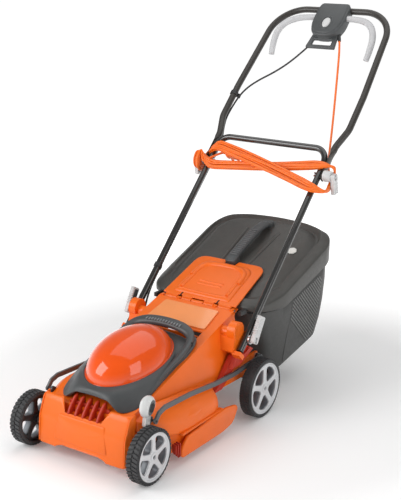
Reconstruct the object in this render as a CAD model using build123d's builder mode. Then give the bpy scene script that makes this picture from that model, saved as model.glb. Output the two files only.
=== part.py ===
from build123d import *
import os
from math import atan2, cos, degrees, hypot, radians, sin, tan

os.makedirs("parts", exist_ok=True)

# ---------------------------------------------------------------- driving dimensions, mm
# The mower stands on z = 0, its front points to -Y and x = 0 is its plane of symmetry.
FRONT_AXLE_Y = -616.6
FRONT_WHEEL_R = 74.5
FRONT_RIM_R = 65.6
FRONT_TYRE_OUT = 213.9
REAR_AXLE_Y = -102.3
REAR_WHEEL_R = 86.7
REAR_RIM_R = 76.3
REAR_TYRE_OUT = 230.4
TYRE_WIDTH = 38.9
STUB_R = 5.0
RUNNING = 0.06                      # radial clearance of pins that turn

BLADE_Y = -416.0                    # motor and blade axis
CUT_WIDTH = 380.0
HOUSING_R = 200.0
HOUSING_LOW = 30.0
HOUSING_TOP = 146.0
WALL = 4.0
HULL_REAR = -128.0

CREASE_Z0 = 187.0                   # height of the deck's top edge at CREASE_Y0
CREASE_Y0 = -500.0
CREASE_SLOPE = 0.3256

HANDLE_ANGLE = 45.5                 # slope of both handle halves
HANDLE_FOOT = (-188.6, 225.9)       # (y, z) where s = 0 on the handle's plane
LOWER_TUBE_X = 194.8
LOWER_TUBE_R = 10.0
UPPER_TUBE_R = 10.5
LOWER_PIVOT_S = 36.0
UPPER_PIVOT_S = 600.0
PIVOT_R = 4.0
TOP_BAR_S = 1241.0

CRANK_ARM = 42.0                    # wheel stub to crank pivot, along Y
FRONT_PIVOT = (FRONT_AXLE_Y + CRANK_ARM, FRONT_WHEEL_R)
REAR_PIVOT = (REAR_AXLE_Y + CRANK_ARM, REAR_WHEEL_R)
LINK_ARM = (4.6, 72.5)              # from each crank pivot to its link pin
LINK_X = 181.0
LINK_PIN_R = 3.0

FLAP_HINGE = (-118.4, 306.0)        # (y, z)
FLAP_ANGLE = 21.6

SIDES = ((-1, "left"), (1, "right"))


def crease(y):
    """Height of the deck's flat top at a place along the mower."""
    return CREASE_Z0 + (y - CREASE_Y0) * CREASE_SLOPE


# Local frames: x across, then up the slope, then out of it.
handle_t = Vector(0, cos(radians(HANDLE_ANGLE)), sin(radians(HANDLE_ANGLE)))
handle_n = Vector(0, -sin(radians(HANDLE_ANGLE)), cos(radians(HANDLE_ANGLE)))
handle_plane = Plane(origin=(0, *HANDLE_FOOT), x_dir=(1, 0, 0), z_dir=handle_n)
deck_slope = degrees(atan2(CREASE_SLOPE, 1))
deck_n = Vector(0, -sin(radians(deck_slope)), cos(radians(deck_slope)))
deck_plane = Plane(origin=(0, BLADE_Y, crease(BLADE_Y)), x_dir=(1, 0, 0), z_dir=deck_n)


def on_handle(x, s, n=0.0):
    """A point x across, s up the handle and n out of its front."""
    return handle_plane.from_local_coords(Vector(x, s, n))


def side_plane(x):
    """The upright plane at x, whose own axes are the mower's Y and Z."""
    return Plane(origin=(x, 0, 0), x_dir=(0, 1, 0), z_dir=(1, 0, 0))


def write(piece, name):
    piece.label = name
    export_step(piece, f"parts/{name}.step")


def tube(points, radii, outer, inner=0.0):
    """A bent tube along straight runs joined by arcs."""
    start = Plane(origin=points[0], z_dir=Vector(*points[1]) - Vector(*points[0]))
    with BuildPart() as bent:
        with BuildLine():
            if len(points) == 2:
                Line(*points)
            else:
                FilletPolyline(*points, radius=radii)
        with BuildSketch(start):
            Circle(outer)
            if inner:
                Circle(inner, mode=Mode.SUBTRACT)
        sweep()
    return bent.part


def box_between(low, high, mode=Mode.ADD):
    """A box given by its two far corners, in the context it is called from."""
    middle = [(a + b) / 2 for a, b in zip(low, high)]
    with Locations(tuple(middle)):
        return Box(*[b - a for a, b in zip(low, high)], mode=mode)


def rod_x(y, z, x0, x1, radius, mode=Mode.ADD):
    """A rod along X between x0 and x1."""
    low, high = min(x0, x1), max(x0, x1)
    with Locations(Location((low, y, z), (0, 90, 0))):
        return Cylinder(radius, high - low, align=(Align.CENTER, Align.CENTER, Align.MIN), mode=mode)


def rod_z(x, y, z0, z1, radius, mode=Mode.ADD):
    """A rod along Z between z0 and z1."""
    with Locations((x, y, z0)):
        return Cylinder(radius, z1 - z0, align=(Align.CENTER, Align.CENTER, Align.MIN), mode=mode)


# ---------------------------------------------------------------- deck
def hull(inset, foot_drop, y_front, y_rear):
    """The wedge between the deck's top, its two flanks and its ends."""
    stations = ((-618.0, 126.0, 140.0, 78.0), (-540.0, 130.0, 148.0, 96.0),
                (-480.0, 131.0, 160.0, 118.0), (HULL_REAR, 131.0, 168.0, 118.0))
    with BuildPart() as wedge:
        for number, (y, top_half, foot_half, foot) in enumerate(stations):
            place = y_front if number == 0 else y_rear if number == 3 else y
            high = crease(place) - inset
            with BuildSketch(Plane.XZ.offset(-place)):
                with BuildLine():
                    Polyline((-foot_half + inset, foot - foot_drop), (-top_half + inset, high),
                             (top_half - inset, high), (foot_half - inset, foot - foot_drop), close=True)
                make_face()
        loft(ruled=True)
    return wedge.part


hull_outside = hull(0, 0, -618.0, HULL_REAR)
hull_inside = hull(WALL, 40.0, -614.0, HULL_REAR - WALL)

with BuildPart() as chamber:
    with BuildSketch(Plane(origin=(0, BLADE_Y, 0), x_dir=(1, 0, 0), z_dir=(0, -1, 0))):
        with BuildLine():
            Polyline((0, 20), (HOUSING_R - WALL, 20), (HOUSING_R - WALL, 117), (187, 134),
                     (174, HOUSING_TOP - WALL), (0, HOUSING_TOP - WALL), close=True)
        make_face()
    revolve(axis=Axis((0, BLADE_Y, 0), (0, 0, 1)))

with BuildPart() as housing:
    with BuildSketch(Plane(origin=(0, BLADE_Y, 0), x_dir=(1, 0, 0), z_dir=(0, -1, 0))):
        with BuildLine():
            Polyline((0, HOUSING_LOW), (HOUSING_R, HOUSING_LOW), (HOUSING_R, 119), (190, 138),
                     (176, HOUSING_TOP), (0, HOUSING_TOP), close=True)
        make_face()
    revolve(axis=Axis((0, BLADE_Y, 0), (0, 0, 1)))

CHUTE_HALF = 104.0
CHUTE_FRONT = -335.0

with BuildPart() as deck_shell:
    add(hull_outside)
    add(hull_inside, mode=Mode.SUBTRACT)
    # grass chute: side walls, front wall and sloping floor
    for side, _ in SIDES:
        box_between((side * CHUTE_HALF - 1.5, CHUTE_FRONT, 120), (side * CHUTE_HALF + 1.5, HULL_REAR - 2, 232))
    box_between((-CHUTE_HALF, CHUTE_FRONT - 3, 140), (CHUTE_HALF, CHUTE_FRONT, 232))
    # tray under the fingers, below the carry handle
    box_between((-CHUTE_HALF, -334, 209), (CHUTE_HALF, -236, 232))
    box_between((-100, -330, 213), (100, -240, 330), mode=Mode.SUBTRACT)
    add(housing.part)
    add(chamber.part, mode=Mode.SUBTRACT)
    box_between((-100, -332, 60), (100, -180, HOUSING_TOP + 1), mode=Mode.SUBTRACT)
    with BuildSketch(side_plane(-CHUTE_HALF)):
        with BuildLine():
            Polyline((-216, 56), (HULL_REAR, 114), (HULL_REAR, 120), (-219, 62), close=True)
        make_face()
    extrude(amount=2 * CHUTE_HALF)
    box_between((-98, HULL_REAR - 6, 122), (98, HULL_REAR + 2, 284), mode=Mode.SUBTRACT)
    # motor bay opening in the top and shaft hole in the housing
    rod_z(0, BLADE_Y, 150, 330, 72, mode=Mode.SUBTRACT)
    rod_z(0, BLADE_Y, 130, 150, 20, mode=Mode.SUBTRACT)
    # bearing blocks of the height cranks
    for side, _ in SIDES:
        box_between((min(side * 128, side * 157), FRONT_PIVOT[0] - 18, 58),
                    (max(side * 128, side * 157), FRONT_PIVOT[0] + 18, 112))
        rod_x(*FRONT_PIVOT, side * 120, side * 160, 6 + RUNNING, mode=Mode.SUBTRACT)
        box_between((min(side * 154, side * 163), -180, 118), (max(side * 154, side * 163), -42, 168))
        box_between((min(side * 154, side * 163), -84, 72), (max(side * 154, side * 163), -42, 120))
        rod_x(*REAR_PIVOT, side * 150, side * 166, 6 + RUNNING, mode=Mode.SUBTRACT)
    # hinge knuckles of the rear flap
    for x in (-122.0, -64.0, 64.0, 122.0):
        box_between((x - 5, FLAP_HINGE[0] - 12, FLAP_HINGE[1] - 14),
                    (x + 5, FLAP_HINGE[0] + 4, FLAP_HINGE[1] + 5))
    rod_x(*FLAP_HINGE, -130, 130, 3 + RUNNING, mode=Mode.SUBTRACT)
write(deck_shell.part, "deck_shell")

# ---------------------------------------------------------------- front bumper and grille
PANEL_HALF = 144.0
with BuildPart() as front_panel:
    with BuildSketch(side_plane(-PANEL_HALF)):
        with BuildLine():
            Polyline((-655, 34), (-655, 60), (-651, 110), (-629, 162), (-611, 168), (-611, 163),
                     (-626, 157), (-647, 108), (-650.5, 60), (-650.5, 34), close=True)
        make_face()
    extrude(amount=2 * PANEL_HALF)
    for side, _ in SIDES:
        with BuildSketch(side_plane(side * (PANEL_HALF - 1.5) - 1.5)):
            with BuildLine():
                Polyline((-653, 36), (-653, 60), (-649, 110), (-627, 160), (-608, 165),
                         (-608, 130), (-630, 60), (-632, 36), close=True)
            make_face()
        extrude(amount=3)
    box_between((-80, -660, 30), (80, -640, 48), mode=Mode.SUBTRACT)
    box_between((-66, -665, 132), (66, -600, 172), mode=Mode.SUBTRACT)
    # raised plate in the middle
    with BuildSketch(Plane(origin=(0, -654.2, 50), x_dir=(1, 0, 0), z_dir=(0, -1, 0))):
        with BuildLine():
            Polyline((-86, 16), (86, 16), (78, 54), (-78, 54), close=True)
        make_face()
    extrude(amount=1.8)
write(front_panel.part, "front_panel")

GRILLE_PITCH = 24.0
with BuildPart() as air_grille:
    box_between((-64, -621, 126), (64, -619, 144))
    for number in range(5):
        x = (number - 2) * GRILLE_PITCH
        with BuildSketch(side_plane(x - 2)):
            with BuildLine():
                Polyline((-643, 132.5), (-634, 148), (-611, 175), (-602, 175), (-602, 157), (-620, 151),
                         (-620, 132.5), close=True)
            make_face()
        extrude(amount=4)
write(air_grille.part, "air_grille")

# ---------------------------------------------------------------- bezel with carry handle
DOME_V = -19.0                      # dome centre, up the slope from the motor axis
DOME_N = 25.0                       # height of the dome's rim there, over the slope
DOME_A = 102.0
DOME_B = 146.0
DOME_H = 76.0
BEZEL_H = 12.0
# the rim lies flatter than the deck, so the collar round it is tall in front
dome_plane = Plane(deck_plane.location * Location((0, DOME_V, DOME_N), (-6.5, 0, 0)))


def collar(inside, low_a, low_b, low_v, top_a, top_b, top_lift):
    """A tapering oval drum from the deck up to the dome's rim."""
    with BuildPart() as drum:
        with BuildSketch(deck_plane.offset(inside)):
            with Locations((0, low_v)):
                Ellipse(low_a, low_b)
        with BuildSketch(dome_plane.offset(top_lift)):
            Ellipse(top_a, top_b)
        loft()
    return drum.part


with BuildPart() as bezel:
    with BuildSketch(deck_plane.offset(0.4)) as outline:
        with BuildLine():
            Polyline((-88, -198), (88, -198), (128, -160), (119, -10), (121, 100), (92, 162),
                     (-92, 162), (-121, 100), (-119, -10), (-128, -160), close=True)
        make_face()
        fillet(outline.vertices(), 16)
    extrude(amount=BEZEL_H)
    add(collar(0.4, 123, 180, -24, DOME_A + 7, DOME_B + 7, 1.5))
    add(collar(-3, DOME_A + 1, DOME_B - 1, DOME_V, DOME_A + 1, DOME_B + 1, 4), mode=Mode.SUBTRACT)
    with BuildSketch(deck_plane.offset(0.4)):
        with Locations((0, 116)):
            RectangleRounded(176, 44, 14)
    extrude(amount=60, mode=Mode.SUBTRACT)
    # the lip in front stands clear over the grille
    with BuildSketch(deck_plane.offset(-3)):
        with Locations((0, -196)):
            RectangleRounded(128, 38, 5)
    extrude(amount=31, mode=Mode.SUBTRACT)
    with BuildSketch(deck_plane.offset(BEZEL_H)) as grip_outline:
        with Locations((0, 150)):
            RectangleRounded(160, 22, 10)
    extrude(amount=7)
    with Locations(deck_plane.location * Location((104, 118, BEZEL_H)),
                   deck_plane.location * Location((-104, 118, BEZEL_H))):
        Hole(2.6, depth=6)
write(bezel.part, "bezel")


def dome(shrink):
    """Half an ellipsoid lofted through ovals, on a skirt that stands on the deck."""
    with BuildPart() as cap:
        with BuildSketch(deck_plane.offset(3)):
            with Locations((0, DOME_V)):
                Ellipse(DOME_A - shrink, DOME_B - 2 - shrink)
        with BuildSketch(dome_plane):
            Ellipse(DOME_A - shrink, DOME_B - shrink)
        loft()
        for step in range(7):
            lift = radians(min(step * 15, 86))
            height = (DOME_H - shrink) * sin(lift)
            with BuildSketch(dome_plane.offset(height)):
                Ellipse((DOME_A - shrink) * cos(lift) ** 0.87, (DOME_B - shrink) * cos(lift) ** 0.87)
        loft()
    return cap.part


with BuildPart() as motor_cover:
    add(dome(0))
    add(dome(3), mode=Mode.SUBTRACT)
write(motor_cover.part, "motor_cover")

with BuildPart() as chute_cover:
    with BuildSketch(deck_plane.offset(0.3)) as cover_outline:
        with BuildLine():
            Polyline((-100, 194), (100, 194), (92, 284), (-92, 284), close=True)
        make_face()
        fillet(cover_outline.vertices(), 6)
    extrude(amount=4)
write(chute_cover.part, "chute_cover")

# ---------------------------------------------------------------- side skirts, gussets, handle ears
lower_pivot = on_handle(0, LOWER_PIVOT_S, -3)
upper_pivot = on_handle(0, UPPER_PIVOT_S, 0)

with BuildPart() as side_skirts:
    for side, _ in SIDES:
        with BuildSketch(side_plane(min(side * 203, side * 213))):
            with BuildLine():
                Polyline((-496, 18), (-298, 18), (-241, 27), (-219, 70), (-283, 88), (-403, 77),
                         (-482, 72), close=True)
            make_face()
        extrude(amount=10)
        with BuildSketch(side_plane(min(side * 203, side * 210))):
            with BuildLine():
                Polyline((-490, 22), (-300, 22), (-246, 30), (-227, 66), (-284, 83), (-403, 73),
                         (-478, 68), close=True)
            make_face()
        extrude(amount=7, mode=Mode.SUBTRACT)
        box_between((min(side * 200.4, side * 204), BLADE_Y - 30, 66),
                    (max(side * 200.4, side * 204), BLADE_Y + 30, 72))
        box_between((min(side * 203, side * 205), -522, 56), (max(side * 203, side * 205), -478, 66))
        for number in range(3):
            front = -500 - 9 * number
            with BuildSketch(Plane(origin=(side * 203, front, 0), x_dir=(side, 0, 0), z_dir=(0, -side, 0))):
                with BuildLine():
                    Polyline((0, 34), (9 - 2 * number, 34 + 6 * number), (7 - 2 * number, 68), (0, 68),
                             close=True)
                make_face()
            extrude(amount=side * 2.5)
write(side_skirts.part, "side_skirts")

with BuildPart() as handle_ears:
    for side, _ in SIDES:
        with BuildSketch(side_plane(min(side * 132, side * 184))):
            with Locations((-184, 266)):
                Circle(17)
            with Locations((lower_pivot.Y, lower_pivot.Z)):
                Circle(20)
            with BuildLine():
                Polyline((-205, 262), (-214, 222), (-190, 206), (-168, 224), (-144, 240), (-160, 272),
                         close=True)
            make_face()
        extrude(amount=52)
        with BuildSketch(side_plane(min(side * 160, side * 184))):
            with Locations((-184, 275)):
                Circle(27)
        extrude(amount=24)
        # seat that the tube's foot stands against
        with BuildSketch(handle_plane.offset(-13)):
            with Locations((side * 194, -19)):
                Rectangle(26, 12)
        extrude(amount=26)
    add(hull_outside, mode=Mode.SUBTRACT)
    for side, _ in SIDES:
        rod_x(lower_pivot.Y, lower_pivot.Z, side * 140, side * 190, PIVOT_R, mode=Mode.SUBTRACT)
        rod_x(lower_pivot.Y, lower_pivot.Z, side * 140, side * 160, 7, mode=Mode.SUBTRACT)
write(handle_ears.part, "handle_ears")

with BuildPart() as wheel_gussets:
    for side, _ in SIDES:
        with BuildSketch(side_plane(min(side * 160, side * 175))):
            with BuildLine():
                Polyline((-291, 122), (-250, 122), (-180, 172), (-112, 204), (-140, 222), (-196, 205),
                         (-226, 176), (-271, 134), close=True)
            make_face()
        extrude(amount=15)
        with BuildSketch(side_plane(min(side * 160, side * 189))):
            with BuildLine():
                Polyline((-222, 176), (-176, 176), (-112, 204), (-140, 222), (-196, 205), close=True)
            make_face()
        extrude(amount=29)
    add(hull_outside, mode=Mode.SUBTRACT)
    add(handle_ears.part, mode=Mode.SUBTRACT)
    # room for the tube's foot as the handle folds
    for side, _ in SIDES:
        rod_x(lower_pivot.Y, lower_pivot.Z, side * 183.8, side * 206, 46.5, mode=Mode.SUBTRACT)
write(wheel_gussets.part, "wheel_gussets")

# ---------------------------------------------------------------- motor, fan and blade
with BuildPart() as motor_stator:
    rod_z(0, BLADE_Y, HOUSING_TOP + 0.5, 226, 58)
    rod_z(0, BLADE_Y, 158, 216, 33, mode=Mode.SUBTRACT)
    rod_z(0, BLADE_Y, 140, 230, 16, mode=Mode.SUBTRACT)
write(motor_stator.part, "motor_stator")

with BuildPart() as motor_bearings:
    for low in (147, 217):
        rod_z(0, BLADE_Y, low, low + 9, 16)
    rod_z(0, BLADE_Y, 140, 230, 8 + RUNNING, mode=Mode.SUBTRACT)
write(motor_bearings.part, "motor_bearings")

with BuildPart() as rotor_shaft:
    rod_z(0, BLADE_Y, 36, 250, 8)
    rod_z(0, BLADE_Y, 166, 208, 32)
write(rotor_shaft.part, "rotor_shaft")

with BuildPart() as cooling_fan:
    rod_z(0, BLADE_Y, 230, 248, 14)
    rod_z(0, BLADE_Y, 230, 233, 54)
    with Locations((0, BLADE_Y, 239)):
        with PolarLocations(33, 9):
            Box(42, 2, 12)
    rod_z(0, BLADE_Y, 225, 252, 8, mode=Mode.SUBTRACT)
write(cooling_fan.part, "cooling_fan")

with BuildPart() as blade_carrier:
    rod_z(0, BLADE_Y, 43, 66, 20)
    rod_z(0, BLADE_Y, 43, 50, 30)
    rod_z(0, BLADE_Y, 40, 70, 8, mode=Mode.SUBTRACT)
write(blade_carrier.part, "blade_carrier")

with BuildPart() as blade:
    with BuildSketch(Plane.XY.offset(40)) as blade_outline:
        with Locations((0, BLADE_Y)):
            RectangleRounded(CUT_WIDTH, 48, 10)
            Circle(8, mode=Mode.SUBTRACT)
    extrude(amount=3)
    for turn in (-1, 1):
        with Locations(Location((turn * 150, BLADE_Y - turn * 20, 44.5), (turn * 22, 0, 0))):
            Box(62, 22, 3)
write(blade.part, "blade")

with BuildPart() as blade_bolt:
    rod_z(0, BLADE_Y, 34, 36, 16)
    with BuildSketch(Plane.XY.offset(28)):
        with Locations((0, BLADE_Y)):
            RegularPolygon(9, 6)
    extrude(amount=6)
write(blade_bolt.part, "blade_bolt")

# ---------------------------------------------------------------- wheels
def tyre(side, out, y, radius, rim_radius):
    with BuildPart() as ring:
        rod_x(y, radius, side * (out - TYRE_WIDTH), side * out, radius)
        fillet(ring.edges().filter_by(GeomType.CIRCLE), 3)
        rod_x(y, radius, side * (out - TYRE_WIDTH), side * out, rim_radius, mode=Mode.SUBTRACT)
    return ring.part


def rim(side, out, y, radius, rim_radius):
    face = side * (out - 3)
    back = side * (out - TYRE_WIDTH + 2)
    with BuildPart() as wheel:
        rod_x(y, radius, back, face, rim_radius)
        rod_x(y, radius, back, face, rim_radius - 5, mode=Mode.SUBTRACT)
        rod_x(y, radius, side * (out - 22), face, rim_radius - 2)
        with BuildSketch(side_plane(min(side * (out - 24), side * out))):
            with Locations((y, radius)):
                with PolarLocations(0, 5, start_angle=18):
                    with Locations((rim_radius * 0.57, 0)):
                        Ellipse(rim_radius * 0.31, rim_radius * 0.25)
        extrude(amount=26, mode=Mode.SUBTRACT)
        rod_x(y, radius, back, face, 13)
        rod_x(y, radius, side * (out - TYRE_WIDTH), side * (out + 1), STUB_R + RUNNING, mode=Mode.SUBTRACT)
    return wheel.part


WHEELS = []
for side, word in SIDES:
    WHEELS.append((f"front_{word}", side, FRONT_TYRE_OUT, FRONT_AXLE_Y, FRONT_WHEEL_R, FRONT_RIM_R))
    WHEELS.append((f"rear_{word}", side, REAR_TYRE_OUT, REAR_AXLE_Y, REAR_WHEEL_R, REAR_RIM_R))
for word, side, out, y, radius, rim_radius in WHEELS:
    write(tyre(side, out, y, radius, rim_radius), f"{word}_tyre")
    write(rim(side, out, y, radius, rim_radius), f"{word}_rim")

# ---------------------------------------------------------------- height adjustment
def crank_plate(pivot, x0, x1):
    """A flat bell crank: pivot, wheel stub and link pin joined by straight arms."""
    low, high = min(x0, x1), max(x0, x1)
    stub = (pivot[0] - CRANK_ARM, pivot[1])
    pin = (pivot[0] + LINK_ARM[0], pivot[1] + LINK_ARM[1])
    with BuildPart() as plate:
        with BuildSketch(side_plane(low)):
            for end in (pivot, stub, pin):
                with Locations(end):
                    Circle(9)
            for end in (stub, pin):
                middle = ((pivot[0] + end[0]) / 2, (pivot[1] + end[1]) / 2)
                run = (end[0] - pivot[0], end[1] - pivot[1])
                with Locations(Location((*middle, 0), (0, 0, degrees(atan2(run[1], run[0]))))):
                    Rectangle(hypot(*run), 12)
        extrude(amount=high - low)
    return plate.part


KNOB = (-583.0, 187.0)              # (y, z) of the height knob's middle
for side, word in SIDES:
    pin = (FRONT_PIVOT[0] + LINK_ARM[0], FRONT_PIVOT[1] + LINK_ARM[1])
    with BuildPart() as front_crank:
        add(crank_plate(FRONT_PIVOT, side * 160, side * 166))
        rod_x(*FRONT_PIVOT, side * 130, side * 160, 6)
        rod_x(FRONT_AXLE_Y, FRONT_WHEEL_R, side * 166, side * 174, 9)
        rod_x(FRONT_AXLE_Y, FRONT_WHEEL_R, side * 166, side * (FRONT_TYRE_OUT - 5), STUB_R)
        rod_x(*pin, side * 166, side * (LINK_X + 5), LINK_PIN_R)
        if side == 1:
            with BuildSketch(side_plane(160)):
                with BuildLine():
                    Polyline((-577, 140), (-590, 160), (-592, 186), (-574, 186), (-576, 162), (-563, 142),
                             close=True)
                make_face()
            extrude(amount=6)
    write(front_crank.part, f"front_{word}_crank")

    with BuildPart() as link_bar:
        rear_pin = (REAR_PIVOT[0] + LINK_ARM[0], REAR_PIVOT[1] + LINK_ARM[1])
        with BuildSketch(side_plane(side * LINK_X - 3)):
            with BuildLine():
                FilletPolyline(pin, (-556, 164), (-531, 171), (-416, 167), (-290, 155), (-200, 152),
                               rear_pin, radius=8)
            trace(line_width=13)
            with Locations(pin, rear_pin):
                Circle(7.5)
        extrude(amount=6)
        for end in (pin, rear_pin):
            rod_x(*end, side * 170, side * 190, LINK_PIN_R + RUNNING, mode=Mode.SUBTRACT)
        # the rear eye is a wide slot, so that the open linkage never binds
        rod_x(*rear_pin, side * 170, side * 190, LINK_PIN_R + 1.0, mode=Mode.SUBTRACT)
    write(link_bar.part, f"{word}_link_bar")

with BuildPart() as height_knob:
    with BuildSketch(side_plane(153)):
        with Locations(KNOB):
            Ellipse(31, 28, rotation=-25)
    extrude(amount=21)
    fillet(height_knob.edges(), 8)
    add(front_crank.part, mode=Mode.SUBTRACT)
write(height_knob.part, "height_knob")

with BuildPart() as rear_axle:
    rod_x(*REAR_PIVOT, -168, 168, 6)
    for side, _ in SIDES:
        add(crank_plate(REAR_PIVOT, side * 168, side * 174))
        rear_pin = (REAR_PIVOT[0] + LINK_ARM[0], REAR_PIVOT[1] + LINK_ARM[1])
        rod_x(*rear_pin, side * 174, side * (LINK_X + 5), LINK_PIN_R)
        rod_x(REAR_AXLE_Y, REAR_WHEEL_R, side * 174, side * 190, 9)
        rod_x(REAR_AXLE_Y, REAR_WHEEL_R, side * 174, side * (REAR_TYRE_OUT - 5), STUB_R)
write(rear_axle.part, "rear_axle")

# ---------------------------------------------------------------- rear flap
flap_t = Vector(0, cos(radians(FLAP_ANGLE)), sin(radians(FLAP_ANGLE)))
flap_n = Vector(0, -sin(radians(FLAP_ANGLE)), cos(radians(FLAP_ANGLE)))
flap_plane = Plane(origin=(0, *FLAP_HINGE), x_dir=(1, 0, 0), z_dir=flap_n)
with BuildPart() as rear_flap:
    with BuildSketch(flap_plane.offset(3)) as flap_outline:
        with BuildLine():
            Polyline((-128, 9), (128, 9), (119, 206), (21, 206), (19, 184), (-19, 184), (-21, 206),
                     (-119, 206), close=True)
        make_face()
        fillet(flap_outline.vertices().group_by(Axis.Y)[-1].filter_by(lambda v: abs(v.X) > 60), 34)
    extrude(amount=4)
    with BuildSketch(flap_plane.offset(7)) as pad:
        with BuildLine():
            Polyline((-96, 26), (96, 26), (86, 168), (-86, 168), close=True)
        make_face()
        fillet(pad.vertices(), 18)
    extrude(amount=3)
    for low, high in ((-114, -72), (-56, -22), (22, 56), (72, 114)):
        rod_x(*FLAP_HINGE, low, high, 6)
        with Locations(flap_plane.location * Location(((low + high) / 2, 7, 4.5))):
            Box(high - low, 8, 5)
    rod_x(*FLAP_HINGE, -130, 130, 3, mode=Mode.SUBTRACT)
write(rear_flap.part, "rear_flap")

with BuildPart() as flap_pin:
    rod_x(*FLAP_HINGE, -127.5, 127.5, 3)
write(flap_pin.part, "flap_pin")

with BuildPart() as flap_spring:
    rod_x(*FLAP_HINGE, -18, 18, 5.5)
    rod_x(*FLAP_HINGE, -20, 20, 3.4, mode=Mode.SUBTRACT)
write(flap_spring.part, "flap_spring")

# ---------------------------------------------------------------- grass box
LID_SLOPE = 0.385


def lid_top(y):
    """Height of the lid's raised middle."""
    return 374 + LID_SLOPE * (y - 60)


def box_plan(inset):
    """The grass box from above, with a bowed rear edge, as a tall block."""
    with BuildPart() as block:
        with BuildSketch(Plane.XY):
            with BuildLine():
                Polyline((-150 + inset, -92 + inset), (-194 + inset, -60 + inset), (-215 + inset, 20),
                         (-213 + inset, 270), (-190 + inset, 322 - inset))
                ThreePointArc((-190 + inset, 322 - inset), (0, 375 - inset), (190 - inset, 322 - inset))
                Polyline((190 - inset, 322 - inset), (213 - inset, 270), (215 - inset, 20),
                         (194 - inset, -60 + inset), (150 - inset, -92 + inset), (-150 + inset, -92 + inset))
            make_face()
        extrude(amount=500)
    return block.part


def side_block(points, half):
    """An outline seen from the side, drawn out across the box."""
    with BuildPart() as block:
        with BuildSketch(side_plane(-half)):
            with BuildLine():
                Polyline(*points, close=True)
            make_face()
        extrude(amount=2 * half)
    return block.part


def draft_block(inset):
    """The bin from the front: sides that lean in towards the bottom."""
    with BuildPart() as block:
        with BuildSketch(Plane.XZ.offset(150)):
            with BuildLine():
                Polyline((-176 + inset, 78), (176 - inset, 78), (210 - inset, 400), (-210 + inset, 400),
                         close=True)
            make_face()
        extrude(amount=-600)
    return block.part


with BuildPart() as box_bin:
    add(side_block([(-88, 298), (22, 293), (345, 387), (372, 300), (364, 190), (296, 135), (76, 83),
                    (-5, 84), (-15, 150), (-62, 235)], 215))
    add(box_plan(4), mode=Mode.INTERSECT)
    add(draft_block(0), mode=Mode.INTERSECT)
    with BuildPart(mode=Mode.PRIVATE) as bin_inside:
        add(side_block([(-84, 310), (22, 310), (345, 400), (369, 298), (361, 192), (294, 138), (76, 86),
                        (-2, 87), (-12, 151), (-59, 236)], 215))
        add(box_plan(7), mode=Mode.INTERSECT)
        add(draft_block(3), mode=Mode.INTERSECT)
    add(bin_inside.part, mode=Mode.SUBTRACT)
    box_between((-98, -100, 125), (98, 10, 284), mode=Mode.SUBTRACT)
write(box_bin.part, "box_bin")

with BuildPart() as box_lid:
    with BuildPart(mode=Mode.PRIVATE) as rim_block:
        add(side_block([(-92, 299.5), (22, 294.5), (345, 388.5), (380, 398), (380, 468), (300, 437),
                        (18, 337), (-92, 314)], 220))
    with BuildPart(mode=Mode.PRIVATE) as raised_block:
        add(side_block([(-92, 306), (-92, 315), (-60, lid_top(-60)), (318, lid_top(318)),
                        (350, lid_top(318)), (366, 440), (366, 400)], 168))
    add(rim_block.part)
    add(raised_block.part)
    add(box_plan(0), mode=Mode.INTERSECT)
    with BuildPart(mode=Mode.PRIVATE) as lid_inside:
        add(side_block([(-88, 290), (22, 290), (345, 384), (380, 392), (380, 464), (300, 433.5),
                        (18, 333.5), (-88, 311)], 220))
        add(side_block([(-88, 300), (-60, lid_top(-60) - 3), (318, lid_top(318) - 3),
                        (348, lid_top(318) - 3), (362, 438), (362, 395)], 165))
        add(box_plan(4), mode=Mode.INTERSECT)
    add(lid_inside.part, mode=Mode.SUBTRACT)
    box_between((-99, -100, 290), (99, -80, 308), mode=Mode.SUBTRACT)
write(box_lid.part, "box_lid")

with BuildPart() as box_grip:
    add(side_block([(53, lid_top(53) + 0.2), (53, 396), (66, 404), (110, 426), (214, 469), (272, 475),
                    (286, 470), (286, lid_top(286) + 0.2), (270, lid_top(270) + 0.2), (262, 462),
                    (214, 456), (104, 410), (96, lid_top(96) + 0.2)], 17))
write(box_grip.part, "box_grip")

with BuildPart() as fill_indicator:
    with BuildSketch(Plane(origin=(144, 178, lid_top(178) + 0.2), x_dir=(1, 0, 0),
                           z_dir=(0, -LID_SLOPE, 1))):
        RegularPolygon(15, 8)
    extrude(amount=3)
write(fill_indicator.part, "fill_indicator")

with BuildPart() as box_hooks:
    for side, _ in SIDES:
        box_between((min(side * 143, side * 153), -125, 297), (max(side * 143, side * 153), -92.5, 309))
write(box_hooks.part, "box_hooks")

# ---------------------------------------------------------------- handle
with BuildPart() as lower_handle:
    legs = [on_handle(-LOWER_TUBE_X, -7), on_handle(-LOWER_TUBE_X, 630), on_handle(-192.5, 688, 10),
            on_handle(192.5, 688, 10), on_handle(LOWER_TUBE_X, 630), on_handle(LOWER_TUBE_X, -7)]
    add(tube(legs, [60, 42, 42, 60], LOWER_TUBE_R, LOWER_TUBE_R - 1.5))
    for side, _ in SIDES:
        for pivot in (lower_pivot, upper_pivot):
            rod_x(pivot.Y, pivot.Z, side * 180, side * 210, PIVOT_R + RUNNING, mode=Mode.SUBTRACT)
write(lower_handle.part, "lower_handle")

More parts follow.
